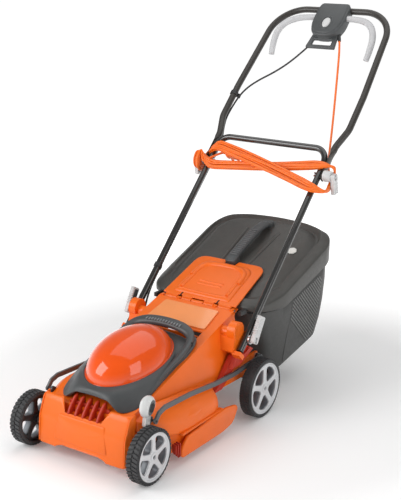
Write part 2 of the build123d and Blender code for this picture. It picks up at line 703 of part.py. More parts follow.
UPPER_PLATE_X = 208.4
with BuildPart() as upper_handle:
    loop = [on_handle(-UPPER_PLATE_X, 690), on_handle(-UPPER_PLATE_X, 706), on_handle(-228.5, 772),
            on_handle(-228, 900), on_handle(-209, TOP_BAR_S), on_handle(209, TOP_BAR_S),
            on_handle(228, 900), on_handle(228.5, 772), on_handle(UPPER_PLATE_X, 706),
            on_handle(UPPER_PLATE_X, 690)]
    add(tube(loop, [60, 80, 300, 112, 112, 300, 80, 60], UPPER_TUBE_R, UPPER_TUBE_R - 1.5))
    for side, _ in SIDES:
        with BuildSketch(Plane(origin=on_handle(side * UPPER_PLATE_X, 690), x_dir=(1, 0, 0), z_dir=handle_t)):
            Circle(UPPER_TUBE_R)
        with BuildSketch(Plane(origin=on_handle(side * UPPER_PLATE_X, 668), x_dir=(1, 0, 0), z_dir=handle_t)):
            Ellipse(2.8, 14)
        loft()
        with BuildSketch(Plane(origin=on_handle(side * UPPER_PLATE_X, 668), x_dir=(1, 0, 0), z_dir=handle_t)):
            Ellipse(2.8, 14)
        extrude(amount=-82)
        rod_x(upper_pivot.Y, upper_pivot.Z, side * 200, side * 215, PIVOT_R + RUNNING, mode=Mode.SUBTRACT)
write(upper_handle.part, "upper_handle")

# ---------------------------------------------------------------- pivot bolts and cam levers
with BuildPart() as cord_pegs:
    for side, _ in SIDES:
        rod_x(upper_pivot.Y, upper_pivot.Z, side * 212, side * 236, 11)
        rod_x(upper_pivot.Y, upper_pivot.Z, side * 211, side * 237, PIVOT_R, mode=Mode.SUBTRACT)
write(cord_pegs.part, "cord_pegs")


def lever_plane(side, x, s, n, toward):
    """A cam lever's own frame: along the paddle, across it, and out from the handle."""
    along = (handle_t * toward[0] + handle_n * toward[1]).normalized()
    return Plane(origin=on_handle(side * x, s, n), x_dir=along, z_dir=(side, 0, 0))


LOWER_LEVER = (222.0, LOWER_PIVOT_S, -3.0, (0.96, -0.26))
UPPER_LEVER = (248.0, UPPER_PIVOT_S, 0.0, (-0.56, -0.83))


def cam_lever(plane, length, width, thick):
    """A paddle with a barrel round the cross pin at its pivot end."""
    with BuildPart() as lever:
        with BuildSketch(plane.offset(-thick / 2)):
            with BuildLine():
                Polyline((-9, -width * 0.32), (8, -width * 0.42), (length * 0.55, -width / 2),
                         (length, -width * 0.3), (length, width * 0.3), (length * 0.55, width / 2),
                         (8, width * 0.42), (-9, width * 0.32), close=True)
            make_face()
        extrude(amount=thick)
        with Locations(plane.location):
            Box(18, 11, thick + 2, mode=Mode.SUBTRACT)
        with Locations(plane.location * Location((0, 0, 0), (90, 0, 0))):
            Cylinder(2 + RUNNING, width, mode=Mode.SUBTRACT)
    return lever.part


def pivot_hardware(lever, pivot, inner_x, washer):
    """Both bolts of one pivot, each with its cross pin and, where there is one, its washer."""
    with BuildPart() as group:
        for side, _ in SIDES:
            rod_x(pivot.Y, pivot.Z, side * inner_x, side * (lever[0] + 4), PIVOT_R)
            rod_x(pivot.Y, pivot.Z, side * inner_x, side * (inner_x + 4), 7)
            with Locations(lever_plane(side, *lever).location * Location((0, 0, 0), (90, 0, 0))):
                Cylinder(2, 22)
            if washer:
                rod_x(pivot.Y, pivot.Z, side * 205.4, side * 211, 13)
    return group.part


write(pivot_hardware(LOWER_LEVER, lower_pivot, 156, True), "lower_bolts")
write(pivot_hardware(UPPER_LEVER, upper_pivot, 180, False), "upper_bolts")
for side, word in SIDES:
    write(cam_lever(lever_plane(side, *LOWER_LEVER), 78, 36, 12), f"{word}_lower_cam_lever")
    write(cam_lever(lever_plane(side, *UPPER_LEVER), 56, 26, 12), f"{word}_upper_cam_lever")

# ---------------------------------------------------------------- switch box, bail and lock button
BOX_BACK = -16.0
BOX_FACE = 26.0
BAIL_S = 1205.0
BAIL_N = 6.0
BAIL_R = 7.5
bail_axis = on_handle(0, BAIL_S, BAIL_N)
gland_root = on_handle(44, 1144, -5)
gland_end = on_handle(54, 1124, -7)
with BuildPart() as switch_box:
    with BuildSketch(handle_plane.offset(BOX_BACK)) as box_outline:
        with BuildLine():
            Polyline((-56, 1256), (56, 1256), (58, 1150), (38, 1120), (-38, 1120), (-58, 1150), close=True)
        make_face()
        fillet(box_outline.vertices(), 12)
    extrude(amount=BOX_FACE - BOX_BACK)
    with BuildSketch(handle_plane.offset(-9)):
        with BuildLine():
            Polyline((-46, 1134), (46, 1134), (52, 1082), (-52, 1082), close=True)
        make_face()
        with Locations((0, 1104)):
            Rectangle(66, 21, mode=Mode.SUBTRACT)
    extrude(amount=11)
    # cavity, bar channel, bail bore and button hole
    with Locations(handle_plane.location * Location((0, 1178, 5))):
        Box(104, 88, 30, mode=Mode.SUBTRACT)
    top_bar = on_handle(0, TOP_BAR_S)
    rod_x(top_bar.Y, top_bar.Z, -70, 70, UPPER_TUBE_R, mode=Mode.SUBTRACT)
    with Locations(handle_plane.location * Location((0, 1166, 20))):
        Box(28, 44, 30, mode=Mode.SUBTRACT)
    rod_x(bail_axis.Y, bail_axis.Z, -62, 62, BAIL_R + RUNNING, mode=Mode.SUBTRACT)
    # strain relief of the mains cable
    with BuildSketch(Plane(origin=gland_root, z_dir=gland_end - gland_root)):
        Circle(6.5)
    extrude(amount=(gland_end - gland_root).length, taper=6)
write(switch_box.part, "switch_box")


def bail_route(side):
    """Centre line of one bow, from inside the box out and down to its free end."""
    return [on_handle(side * 10, BAIL_S, BAIL_N), on_handle(side * 72, BAIL_S, BAIL_N),
            on_handle(side * 130, BAIL_S - 12, 10), on_handle(side * 168, BAIL_S - 48, 15),
            on_handle(side * 181, BAIL_S - 100, 4), on_handle(side * 173, BAIL_S - 152, -14)]


with BuildPart() as bail:
    for side, _ in SIDES:
        add(tube(bail_route(side), [60, 60, 40, 60], BAIL_R))
    rod_x(bail_axis.Y, bail_axis.Z, -12, 12, BAIL_R)
    with Locations(handle_plane.location * Location((0, BAIL_S - 9, BAIL_N - 2))):
        Box(12, 16, 5)
write(bail.part, "bail")

with BuildPart() as lock_button:
    with BuildSketch(handle_plane.offset(14)):
        with Locations((0, 1166)):
            Ellipse(12, 20)
    extrude(amount=16)
write(lock_button.part, "lock_button")

with BuildPart() as switch_parts:
    with Locations(handle_plane.location * Location((0, 1166, -3))):
        Box(30, 34, 12)
    with Locations(handle_plane.location * Location((0, 1166, 6))):
        Cylinder(5, 6)
        Cylinder(3.6, 6, mode=Mode.SUBTRACT)
write(switch_parts.part, "switch_parts")

with BuildPart() as bail_spring:
    rod_x(bail_axis.Y, bail_axis.Z, 22, 44, 11)
    rod_x(bail_axis.Y, bail_axis.Z, 20, 46, BAIL_R + 0.8, mode=Mode.SUBTRACT)
write(bail_spring.part, "bail_spring")


# ---------------------------------------------------------------- flex to the motor, held along the handle
FLEX_R = 3.0
CABLE_R = 3.5


def cord_radii(points):
    """Arc radii that share each run fairly between its two corners."""
    found = []
    for before, here, after in zip(points, points[1:], points[2:]):
        run_in = Vector(*here) - Vector(*before)
        run_out = Vector(*after) - Vector(*here)
        half_turn = radians(run_in.get_angle(run_out)) / 2
        found.append(0.45 * min(run_in.length, run_out.length) / tan(half_turn))
    return found


def cord(name, points, radius):
    radii = cord_radii(points)
    print(name, "radii", [round(value) for value in radii])
    piece = tube(points, radii, radius)
    write(piece, name)


FLEX_BACK = -(LOWER_TUBE_R + FLEX_R + 0.4)
flex_upper_route = [on_handle(-47, 1081.5, -4), on_handle(-62, 1054, -5), on_handle(-92, 1008, -6),
                    on_handle(-126, 968, -5), on_handle(-162, 934, -3), on_handle(-192, 904, -6),
                    on_handle(-212, 872, -11), on_handle(-222, 828, -15), on_handle(-225, 780, -15.5),
                    on_handle(-217, 742, -15), on_handle(-208, 714, -16)]
flex_lower_route = [on_handle(-207.7, 713, -16), on_handle(-202, 690, -17), on_handle(-197, 650, -16.5),
                    on_handle(-195, 590, -14.2), on_handle(-194.6, 510, FLEX_BACK - 0.3),
                    on_handle(-194.9, 430, FLEX_BACK), on_handle(-194.6, 350, FLEX_BACK - 0.3),
                    on_handle(-194.9, 270, FLEX_BACK), on_handle(-194.5, 200, FLEX_BACK - 0.3),
                    on_handle(-194.3, 136, -14.6), on_handle(-192, 100, -19), on_handle(-189, 70, -26)]
flex_deck_route = [(-188.9, -121.5, 256.7), (-188, -126, 247), (-179.5, -126.5, 234),
                   (-162.5, -123.5, 228.5), (-143, -121, 227.5), (-125, -127.8, 226.5)]
cord("flex_upper", flex_upper_route, FLEX_R)
cord("flex_lower", flex_lower_route, FLEX_R)
cord("flex_deck", flex_deck_route, FLEX_R)


def clip_on_tube(x, s, tube_r, flex_x, flex_n):
    """A plastic ring on a tube with a loop for the flex."""
    with BuildPart() as clip:
        with BuildSketch(Plane(origin=on_handle(x, s - 6), x_dir=(1, 0, 0), z_dir=handle_t)):
            Circle(tube_r + 2.6)
            with Locations((flex_x - x, -flex_n)):
                Circle(FLEX_R + 2.4)
            Circle(tube_r + 0.1, mode=Mode.SUBTRACT)
            with Locations((flex_x - x, -flex_n)):
                Circle(FLEX_R + 0.5, mode=Mode.SUBTRACT)
        extrude(amount=12)
    return clip.part


write(clip_on_tube(-194.8, 199, LOWER_TUBE_R, -194.5, FLEX_BACK - 0.3), "lower_clip")
write(clip_on_tube(-228.2, 866, UPPER_TUBE_R, -214.2, -11.8), "upper_clip")

# ---------------------------------------------------------------- mains cable, its figure-eight coil and plug
power_cord_route = [gland_end, on_handle(64, 1100, -10), on_handle(86, 1022, -19), on_handle(112, 928, -28),
                    on_handle(140, 832, -33), on_handle(165, 748, -33), on_handle(183, 690, -30),
                    on_handle(197, 652, -26), on_handle(213.2, 624, -23)]
cord("power_cord", power_cord_route, CABLE_R)

COIL_BACK = 16.0
COIL_FRONT = 31.0
with BuildPart() as cord_coil:
    with BuildSketch(handle_plane.offset(COIL_BACK)):
        with BuildLine():
            Polyline((-230, 668), (-232, 634), (-150, 626), (-10, 600), (110, 540), (200, 509), (236, 512),
                     (238, 556), (130, 580), (0, 634), (-130, 662), close=True)
        make_face()
        with BuildLine():
            Polyline((-232, 600), (-236, 566), (-200, 538), (-140, 566), (-60, 592), (90, 602), (236, 592),
                     (238, 640), (190, 655), (75, 656), (-40, 636), (-140, 604), close=True)
        make_face()
    extrude(amount=COIL_FRONT - COIL_BACK)
    for side, _ in SIDES:
        rod_x(upper_pivot.Y, upper_pivot.Z, side * 216, side * 238, 34)
        rod_x(upper_pivot.Y, upper_pivot.Z, side * 214, side * 240, 11.3, mode=Mode.SUBTRACT)
write(cord_coil.part, "cord_coil")

with BuildPart() as cord_plug:
    with BuildSketch(handle_plane.offset(-12)) as plug_outline:
        with Locations((-120, 632)):
            RectangleRounded(50, 36, 8)
    extrude(amount=12 + COIL_BACK)
    for x, s in ((-120, 643), (-131, 624), (-109, 624)):
        with Locations(handle_plane.location * Location((x, s, -21))):
            Box(4, 7, 19)
write(cord_plug.part, "cord_plug")
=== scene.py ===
from math import asin, copysign, cos, pi, radians, sin
import bmesh
import bpy
from mathutils import Matrix, Vector


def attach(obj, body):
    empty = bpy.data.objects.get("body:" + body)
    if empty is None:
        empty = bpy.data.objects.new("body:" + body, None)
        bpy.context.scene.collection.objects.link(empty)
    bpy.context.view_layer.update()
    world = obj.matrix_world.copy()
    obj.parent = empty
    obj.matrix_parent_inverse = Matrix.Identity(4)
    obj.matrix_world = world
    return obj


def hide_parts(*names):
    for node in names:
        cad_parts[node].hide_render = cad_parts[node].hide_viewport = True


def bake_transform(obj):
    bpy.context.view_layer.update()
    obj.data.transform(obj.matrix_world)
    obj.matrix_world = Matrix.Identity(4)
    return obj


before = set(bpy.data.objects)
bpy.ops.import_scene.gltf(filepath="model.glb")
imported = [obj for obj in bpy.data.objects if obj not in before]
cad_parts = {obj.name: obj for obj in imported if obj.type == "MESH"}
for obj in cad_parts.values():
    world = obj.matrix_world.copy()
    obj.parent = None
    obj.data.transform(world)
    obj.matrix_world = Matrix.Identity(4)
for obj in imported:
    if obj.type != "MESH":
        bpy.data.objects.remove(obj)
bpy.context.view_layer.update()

MM = 0.001

# ---- places shared with the CAD, mm
FRONT_AXLE = (-616.6, 74.5)
REAR_AXLE = (-102.3, 86.7)
BLADE_Y = -416.0
DECK_SLOPE = radians(18.03)
HANDLE_SLOPE = radians(45.5)
HANDLE_FOOT = (-188.6, 225.9)
FLAP_HINGE = (-118.4, 306.0)
FLAP_SLOPE = radians(21.6)
SIDES = ((-1, "left"), (1, "right"))
ACROSS, ALONG, UP = Vector((1, 0, 0)), Vector((0, 1, 0)), Vector((0, 0, 1))


def slope(angle):
    """The direction up a slope and the one square to it."""
    return Vector((0, cos(angle), sin(angle))), Vector((0, -sin(angle), cos(angle)))


handle_t, handle_n = slope(HANDLE_SLOPE)
deck_t, deck_n = slope(DECK_SLOPE)
flap_t, flap_n = slope(FLAP_SLOPE)


def crease(y):
    """Height of the deck's middle plane."""
    return 187 + (y + 500) * 0.3256


def on_handle(x, s, n=0.0):
    return Vector((x, *HANDLE_FOOT)) + handle_t * s + handle_n * n


def on_deck(x, v, n=0.0):
    return Vector((x, BLADE_Y, crease(BLADE_Y))) + deck_t * v + deck_n * n


def on_flap(x, v, n=0.0):
    return Vector((x, *FLAP_HINGE)) + flap_t * v + flap_n * n


# origin and two directions for flat pieces
HANDLE_PLANE = (on_handle(0, 0), ACROSS, handle_t)
DECK_PLANE = (on_deck(0, 0), ACROSS, deck_t)
FLAP_PLANE = (on_flap(0, 0), ACROSS, flap_t)
DECK_AXES = (ACROSS, deck_t, deck_n)
FLAP_AXES = (ACROSS, flap_t, flap_n)


# ---- materials
def new_material(name):
    material = bpy.data.materials.new(name)
    material.use_nodes = True
    return material, material.node_tree, material.node_tree.nodes["Principled BSDF"]


def set_inputs(node, values):
    for socket, value in values.items():
        node.inputs[socket].default_value = value


def noise(tree, scale, detail=3.0, stretch=None):
    """Noise in the object's own metres, stretched along an axis where asked."""
    place = tree.nodes.new("ShaderNodeTexCoord").outputs["Object"]
    texture = tree.nodes.new("ShaderNodeTexNoise")
    set_inputs(texture, {"Scale": scale, "Detail": detail})
    if stretch:
        mapping = tree.nodes.new("ShaderNodeMapping")
        set_inputs(mapping, {"Scale": stretch})
        tree.links.new(place, mapping.inputs["Vector"])
        place = mapping.outputs["Vector"]
    tree.links.new(place, texture.inputs["Vector"])
    return texture.outputs["Fac"]


def ramp(tree, source, source_range, result_range):
    """A value that runs over the result range while its source runs over its own."""
    node = tree.nodes.new("ShaderNodeMapRange")
    set_inputs(node, dict(zip(("From Min", "From Max", "To Min", "To Max"), (*source_range, *result_range))))
    tree.links.new(source, node.inputs["Value"])
    return node.outputs["Result"]


NOISE_RANGE = (0.3, 0.7)


def moulded(name, color, rough, vary=0.06, grain=1400.0, bump=0.05, blotch=14.0, rough_vary=0.05,
            metal=0.0, coat=0.0, coat_rough=0.03, stretch=None, specular=0.5, dust=0.0):
    """A moulded or painted surface: slow colour and gloss variation with fine grain."""
    material, tree, shader = new_material(name)
    mix = tree.nodes.new("ShaderNodeMix")
    mix.data_type = "RGBA"
    set_inputs(mix, {"A": (*[c * (1 - vary) for c in color], 1),
                     "B": (*[min(1, c * (1 + vary) + dust) for c in color], 1)})
    tree.links.new(ramp(tree, noise(tree, blotch, 4.0), NOISE_RANGE, (0, 1)), mix.inputs["Factor"])
    tree.links.new(mix.outputs["Result"], shader.inputs["Base Color"])
    gloss = (max(0.02, rough - rough_vary), rough + rough_vary)
    tree.links.new(ramp(tree, noise(tree, blotch * 7, 3.0), NOISE_RANGE, gloss), shader.inputs["Roughness"])
    lift = tree.nodes.new("ShaderNodeBump")
    set_inputs(lift, {"Strength": bump, "Distance": 0.0006})
    tree.links.new(noise(tree, grain, 2.0, stretch), lift.inputs["Height"])
    tree.links.new(lift.outputs["Normal"], shader.inputs["Normal"])
    set_inputs(shader, {"Metallic": metal, "Specular IOR Level": specular, "Coat Weight": coat,
                        "Coat Roughness": coat_rough})
    return material


M = {
    "orange": moulded("orange_satin", (0.88, 0.150, 0.008), 0.34, vary=0.035, coat=0.10, coat_rough=0.2,
                      specular=0.32),
    # a darker copy of the body orange with shade painted in, for the recesses, fins and gussets that sit in shade
    "orange_painted_shade": moulded("orange_painted_shade", (0.46, 0.022, 0.003), 0.45),
    "dome": moulded("orange_gloss", (0.84, 0.085, 0.001), 0.3, vary=0.02, bump=0.0, rough_vary=0.02, coat=1.0,
                    coat_rough=0.02, specular=0.1),
    "pale_orange": moulded("orange_panel", (0.92, 0.30, 0.085), 0.2, vary=0.03, bump=0.02, coat=0.7,
                           coat_rough=0.05),
    "charcoal": moulded("charcoal", (0.060, 0.064, 0.066), 0.42, vary=0.09, grain=2200, bump=0.16),
    "lid": moulded("lid_charcoal", (0.062, 0.060, 0.055), 0.42, vary=0.1, grain=1700, bump=0.2),
    "black": moulded("black_plastic", (0.022, 0.022, 0.023), 0.42, vary=0.12, bump=0.12),
    "bin": moulded("bin_black", (0.052, 0.052, 0.050), 0.5, vary=0.1, grain=1500, bump=0.15),
    "louvre": moulded("louvre_grey", (0.13, 0.13, 0.126), 0.42, vary=0.1, bump=0.1),
    "gloss_tube": moulded("black_tube", (0.02, 0.019, 0.018), 0.16, vary=0.12, bump=0.03, coat=0.8,
                          coat_rough=0.06, grain=900),
    "grey_tube": moulded("grey_tube", (0.034, 0.030, 0.026), 0.3, vary=0.12, grain=2600, bump=0.22),
    "pale": moulded("pale_plastic", (0.60, 0.60, 0.60), 0.38, vary=0.03, bump=0.06),
    "pale_foam": moulded("pale_foam", (0.52, 0.52, 0.53), 0.7, vary=0.05, grain=1100, bump=0.5),
    "white": moulded("white_plastic", (0.66, 0.665, 0.66), 0.25, vary=0.03, bump=0.03, coat=0.4),
    "silver": moulded("silver_rim", (0.64, 0.645, 0.66), 0.33, vary=0.04, bump=0.08, metal=0.25, grain=2600),
    # the silver rim darkened with painted shade where it lies back behind the face, round the windows
    "silver_in_shade": moulded("rim_well", (0.20, 0.215, 0.235), 0.42, vary=0.08, bump=0.08, metal=0.2),
    "tyre": moulded("tyre_rubber", (0.035, 0.035, 0.037), 0.66, vary=0.2, grain=900, bump=0.3, rough_vary=0.1,
                    dust=0.008),
    "steel": moulded("zinc_steel", (0.56, 0.56, 0.57), 0.32, vary=0.1, metal=1.0, bump=0.1, blotch=60),
    "dark_steel": moulded("painted_steel", (0.045, 0.045, 0.048), 0.38, vary=0.12, bump=0.1),
    "link": moulded("link_grey", (0.10, 0.105, 0.11), 0.4, vary=0.08, bump=0.12),
    "link_pale": moulded("rib_grey", (0.20, 0.205, 0.21), 0.4, vary=0.08, bump=0.12),
    "cast": moulded("cast_metal", (0.55, 0.55, 0.55), 0.5, vary=0.1, metal=0.8, bump=0.35, grain=700),
    "core": moulded("laminated_core", (0.20, 0.15, 0.11), 0.5, vary=0.2, metal=0.6, bump=0.4, grain=500,
                    stretch=(0.05, 0.05, 3)),
    "cable": moulded("cable_orange", (0.86, 0.155, 0.006), 0.34, vary=0.05, bump=0.12, grain=1800, blotch=40),
    "flex": moulded("flex_black", (0.02, 0.02, 0.02), 0.45, vary=0.1, bump=0.12, grain=1800, blotch=40),
    "window": moulded("indicator", (0.72, 0.72, 0.68), 0.3, vary=0.03, bump=0.03, coat=0.5),
    # near-black pieces that stand in for the shade inside screw wells and slots: painted shade
    "hole_shadow": moulded("hole_shadow", (0.004, 0.004, 0.004), 0.7, vary=0.1),
}


# ---- mesh helpers; all lengths in mm
def paint(piece, material):
    piece.data.materials.clear()
    piece.data.materials.append(M[material])
    for polygon in piece.data.polygons:
        polygon.use_smooth = True


def round_edges(piece, width, segments, angle):
    rounding = piece.modifiers.new("rounding", "BEVEL")
    rounding.width = width * MM
    rounding.segments = segments
    rounding.limit_method = "ANGLE"
    rounding.angle_limit = radians(angle)


def thicken(piece, depth, offset):
    thickness = piece.modifiers.new("thickness", "SOLIDIFY")
    thickness.thickness = depth * MM
    thickness.offset = offset


def finish_mesh(piece, material, body, sharp=35.0, bevel=0.0, segments=3, smooth=0, replaced=()):
    paint(piece, material)
    if bevel:
        round_edges(piece, bevel, segments, 30)
    if smooth:
        surface = piece.modifiers.new("surface", "SUBSURF")
        surface.levels = smooth
        surface.render_levels = smooth
    piece.data.set_sharp_from_angle(angle=radians(sharp))
    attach(piece, body)
    if replaced:
        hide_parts(*replaced)
    return piece


def dress(node, material, bevel=0.0, segments=2):
    """A CAD node that stays: its own material and, where asked, rounded edges."""
    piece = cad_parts[node]
    paint(piece, material)
    piece.data.set_sharp_from_angle(angle=radians(32))
    if bevel:
        round_edges(piece, bevel, segments, 28)


def add_object(name, data):
    piece = bpy.data.objects.new(name, data)
    bpy.context.scene.collection.objects.link(piece)
    return piece


def clean(data, merge=0.0):
    """Faces turned outwards, after points closer than the distance are merged."""
    work = bmesh.new()
    work.from_mesh(data)
    if merge:
        bmesh.ops.remove_doubles(work, verts=work.verts, dist=merge)
    bmesh.ops.recalc_face_normals(work, faces=work.faces)
    work.to_mesh(data)
    work.free()


def mesh_object(name, vertices, faces):
    data = bpy.data.meshes.new(name)
    data.from_pydata([tuple(Vector(v) * MM) for v in vertices], [], faces)
    clean(data)
    return add_object(name, data)


def solid(name, parts, material, body, **look):
    """One piece out of several vertex and face lists."""
    vertices, faces = [], []
    for part_vertices, part_faces in parts:
        base = len(vertices)
        vertices += part_vertices
        faces += [[base + i for i in face] for face in part_faces]
    return finish_mesh(mesh_object(name, vertices, faces), material, body, **look)


def loft(rings, closed=True, caps=True):
    """Faces between rings of equal length."""
    count = len(rings[0])
    vertices = [Vector(v) for ring in rings for v in ring]
    faces = []
    for row in range(len(rings) - 1):
        for i in range(count if closed else count - 1):
            j = (i + 1) % count
            faces.append([row * count + i, row * count + j, (row + 1) * count + j, (row + 1) * count + i])
    if caps:
        faces.append(list(range(count)))
        faces.append([(len(rings) - 1) * count + i for i in range(count)])
    return vertices, faces


def lathe_x(profile, y, z, turns=72, closed=True):
    """A profile of (x, radius) turned about an axis along X."""
    rings = [[(x, y + r * cos(angle), z + r * sin(angle)) for x, r in profile]
             for angle in (2 * pi * step / turns for step in range(turns))]
    vertices, faces = loft(rings, closed=closed, caps=False)
    count = len(profile)
    last = (turns - 1) * count
    for i in range(count if closed else count - 1):
        j = (i + 1) % count
        faces.append([last + i, last + j, j, i])
    return vertices, faces


def lump(centre, axes, half):
    """A box from its centre, three directions and half sizes."""
    a, b, c = [Vector(axis).normalized() * h for axis, h in zip(axes, half)]
    centre = Vector(centre)
    vertices = [centre + a * i + b * j + c * k for k in (-1, 1) for i, j in ((-1, -1), (1, -1), (1, 1), (-1, 1))]
    faces = [[3, 2, 1, 0], [4, 5, 6, 7], [0, 1, 5, 4], [1, 2, 6, 5], [2, 3, 7, 6], [3, 0, 4, 7]]
    return vertices, faces


def rounded(points, radius, steps=6):
    """An outline with its corners rounded; radius is one number or one per corner."""
    radii = radius if isinstance(radius, list) else [radius] * len(points)
    out = []
    for k, here in enumerate(points):
        here = Vector(here)
        before, after = Vector(points[k - 1]), Vector(points[(k + 1) % len(points)])
        run_in, run_out = (before - here), (after - here)
        reach = min(radii[k], 0.48 * run_in.length, 0.48 * run_out.length)
        first, last = here + run_in.normalized() * reach, here + run_out.normalized() * reach
        for step in range(steps + 1):
            t = step / steps
            out.append(first * (1 - t) ** 2 + here * 2 * t * (1 - t) + last * t * t)
    return out


def mirrored(half, radius, steps=6):
    """A rounded outline from the half on one side of x = 0."""
    radii = radius + radius[::-1] if isinstance(radius, list) else radius
    return rounded(half + [(-x, y) for x, y in half[::-1]], radii, steps)


def oval(rx, ry, steps):
    return [Vector((rx * cos(2 * pi * k / steps), ry * sin(2 * pi * k / steps))) for k in range(steps)]


def hoop(centre, u, v, ru, rv, steps):
    """A closed ring of points round a centre, in the plane of two directions."""
    return [centre + u * p.x + v * p.y for p in oval(ru, rv, steps)]


def boxy(value, power):
    """A sine or cosine that fills out the corners of its ring."""
    return copysign(abs(value) ** power, value)


def settled_mesh(piece):
    bpy.context.view_layer.update()
    return bpy.data.meshes.new_from_object(piece.evaluated_get(bpy.context.evaluated_depsgraph_get()))


def plate(name, loops, origin, u, v, low, high, edge):
    """A flat piece with holes and rounded edges; the first loop is the outline."""
    curve = bpy.data.curves.new(name, "CURVE")
    curve.dimensions = "2D"
    curve.fill_mode = "BOTH"
    edge = min(edge, (high - low) * 0.49)
    curve.bevel_depth = edge * MM
    curve.bevel_resolution = 2
    curve.offset = -edge * MM
    curve.extrude = max(0.0, (high - low) / 2 - edge) * MM
    for loop in loops:
        spline = curve.splines.new("POLY")
        spline.points.add(len(loop) - 1)
        for point, at in zip(spline.points, loop):
            point.co = (at[0] * MM, at[1] * MM, 0, 1)
        spline.use_cyclic_u = True
    holder = add_object(name, curve)
    data = settled_mesh(holder)
    bpy.data.objects.remove(holder)
    u, v = Vector(u).normalized(), Vector(v).normalized()
    w = u.cross(v)
    place = Vector(origin) * MM + w * ((low + high) / 2 * MM)
    data.transform(Matrix.Translation(place) @ Matrix((u, v, w)).transposed().to_4x4())
    data.name = name
    clean(data, merge=0.00002)
    return add_object(name, data)


def panel(name, loops, plane, low, high, edge, material, body, **look):
    return finish_mesh(plate(name, loops, *plane, low, high, edge), material, body, **look)


def spline_curve(name, points, radius, taper=None, resolution=8):
    """A smooth round line through control points."""
    curve = bpy.data.curves.new(name, "CURVE")
    curve.dimensions = "3D"
    curve.bevel_depth = radius * MM
    curve.bevel_resolution = 5
    curve.use_fill_caps = True
    spline = curve.splines.new("NURBS")
    spline.points.add(len(points) - 1)
    for k, (point, at) in enumerate(zip(spline.points, points)):
        point.co = (*(Vector(at) * MM), 1)
        point.radius = taper[k] if taper else 1.0
    spline.order_u = 3
    spline.use_endpoint_u = True
    spline.resolution_u = resolution
    return add_object(name, curve)


def centre_line(piece):
    """The points, in metres, of a curve's own line."""
    depth = piece.data.bevel_depth
    piece.data.bevel_depth = 0
    line = settled_mesh(piece)
    piece.data.bevel_depth = depth
    points = [v.co.copy() for v in line.vertices]
    bpy.data.meshes.remove(line)
    return points


def as_mesh(piece):
    name, data = piece.name, settled_mesh(piece)
    bpy.data.objects.remove(piece)
    return add_object(name, data)


def rod(name, points, radius, material, body, taper=None, resolution=8, **look):
    return finish_mesh(as_mesh(spline_curve(name, points, radius, taper, resolution)), material, body, **look)


def cord_tube(name, points, radius, material, resolution):
    """A cord's mesh, the points of its line and its length in metres."""
    curve = spline_curve(name, points, radius, resolution=resolution)
    line = centre_line(curve)
    tube = as_mesh(curve)
    paint(tube, material)
    return tube, line, sum((b - a).length for a, b in zip(line, line[1:]))


# ---- mains cable: hangs, then winds on two pegs
TURNS = 10
gland_end = on_handle(54, 1124, -7)
route = [gland_end] + [on_handle(*place) for place in (
    (64, 1100, -10), (86, 1022, -19), (112, 928, -28), (140, 832, -33), (165, 748, -33), (183, 690, -30),
    (197, 652, -26), (213.2, 624, -23))]


def arm(x0, s0, x1, s1, bow, k, lane):
    """Points of one strand along an arm of the figure eight, in its own lane."""
    points = []
    for step in range(7):
        t = (step + 0.5) / 7
        wide = 1.0 + 0.10 * sin(2.1 * k + 5 * t)
        across = (k % 5 - 2) * 6.9 * wide + 1.6 * sin(1.7 * k + 7 * t)
        points.append(on_handle(x0 + (x1 - x0) * t, s0 + (s1 - s0) * t + bow * sin(pi * t) + across,
                                lane + 7.2 * (k // 5) + 1.2 * sin(2.6 * k + 4 * t)))
    return points


def wrap(k):
    """Points of one half turn round the left peg, behind the handle's pivot."""
    radius = 17 + 7.3 * (k // 3)
    x = -220 - 7.2 * (k % 3) - 1.5 * sin(k)
    return [on_handle(x, 600 + (radius + 4) * cos(angle) * 1.05, 3 - radius * sin(angle) * 0.98)
            for angle in (radians(62 + 59 * step) for step in range(5))]


for k in range(TURNS):
    column, layer = k % 3, k // 3
    route += [on_handle(232 - 2 * column, 585 - 4 * layer, -20 - 4 * layer), on_handle(240, 552 - 2 * layer, -4),
              on_handle(236, 532 + 2 * (k % 5), 14)]
    route += arm(222, 530, -216, 652, 6, k, 24.5 if k % 2 else 23.5)
    route += wrap(k)
    if k < TURNS - 1:
        route += arm(-216, 569, 222, 632, -4, k, 12.0)
        route += [on_handle(238, 634 - 2 * (k % 5), 12), on_handle(240, 622, -4),
                  on_handle(234 - 2 * column, 606, -20 - 4 * layer)]
route += [on_handle(*place) for place in ((-205, 574, 20), (-192, 588, 20), (-176, 608, 14), (-164, 624, 7),
                                          (-155, 631, 3), (-144, 632, 2))]
cable, cable_line, cable_length = cord_tube("mains_cable", route, 3.5, "cable", 5)
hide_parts("power_cord", "cord_coil")
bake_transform(cable)

# plug: strain relief, ribbed body and three pins
PLUG_S, PLUG_N = 632, 2
PLUG_NECK_END = -145.5
plug_rings = []
for x, s_half, n_half in ((-166, 4.4, 4.4), (-160, 5.2, 5.2), (-150, 6.4, 6.2), (-146, 7.2, 6.8), (-145, 11, 9.5),
                          (-142, 15, 12), (-134, 17.4, 13.4), (-126, 16.2, 12.6), (-118, 17.6, 13.6),
                          (-104, 17.6, 13.6), (-98, 16.2, 12.6), (-96, 13, 10)):
    power = 1.0 if x < PLUG_NECK_END else 0.62
    plug_rings.append([on_handle(x, PLUG_S + s_half * boxy(p.x, power), PLUG_N + n_half * boxy(p.y, power))
                       for p in oval(1, 1, 32)])
pins = [lump(on_handle(x, s, -19), (ACROSS, handle_t, handle_n), (1.9, 3.4, 10.5))
        for x, s in ((-120, 643), (-131, 624), (-109, 624))]
plug = solid("mains_plug", [loft(plug_rings)] + pins, "cable", "lower_handle_body", sharp=50, replaced=["cord_plug"])

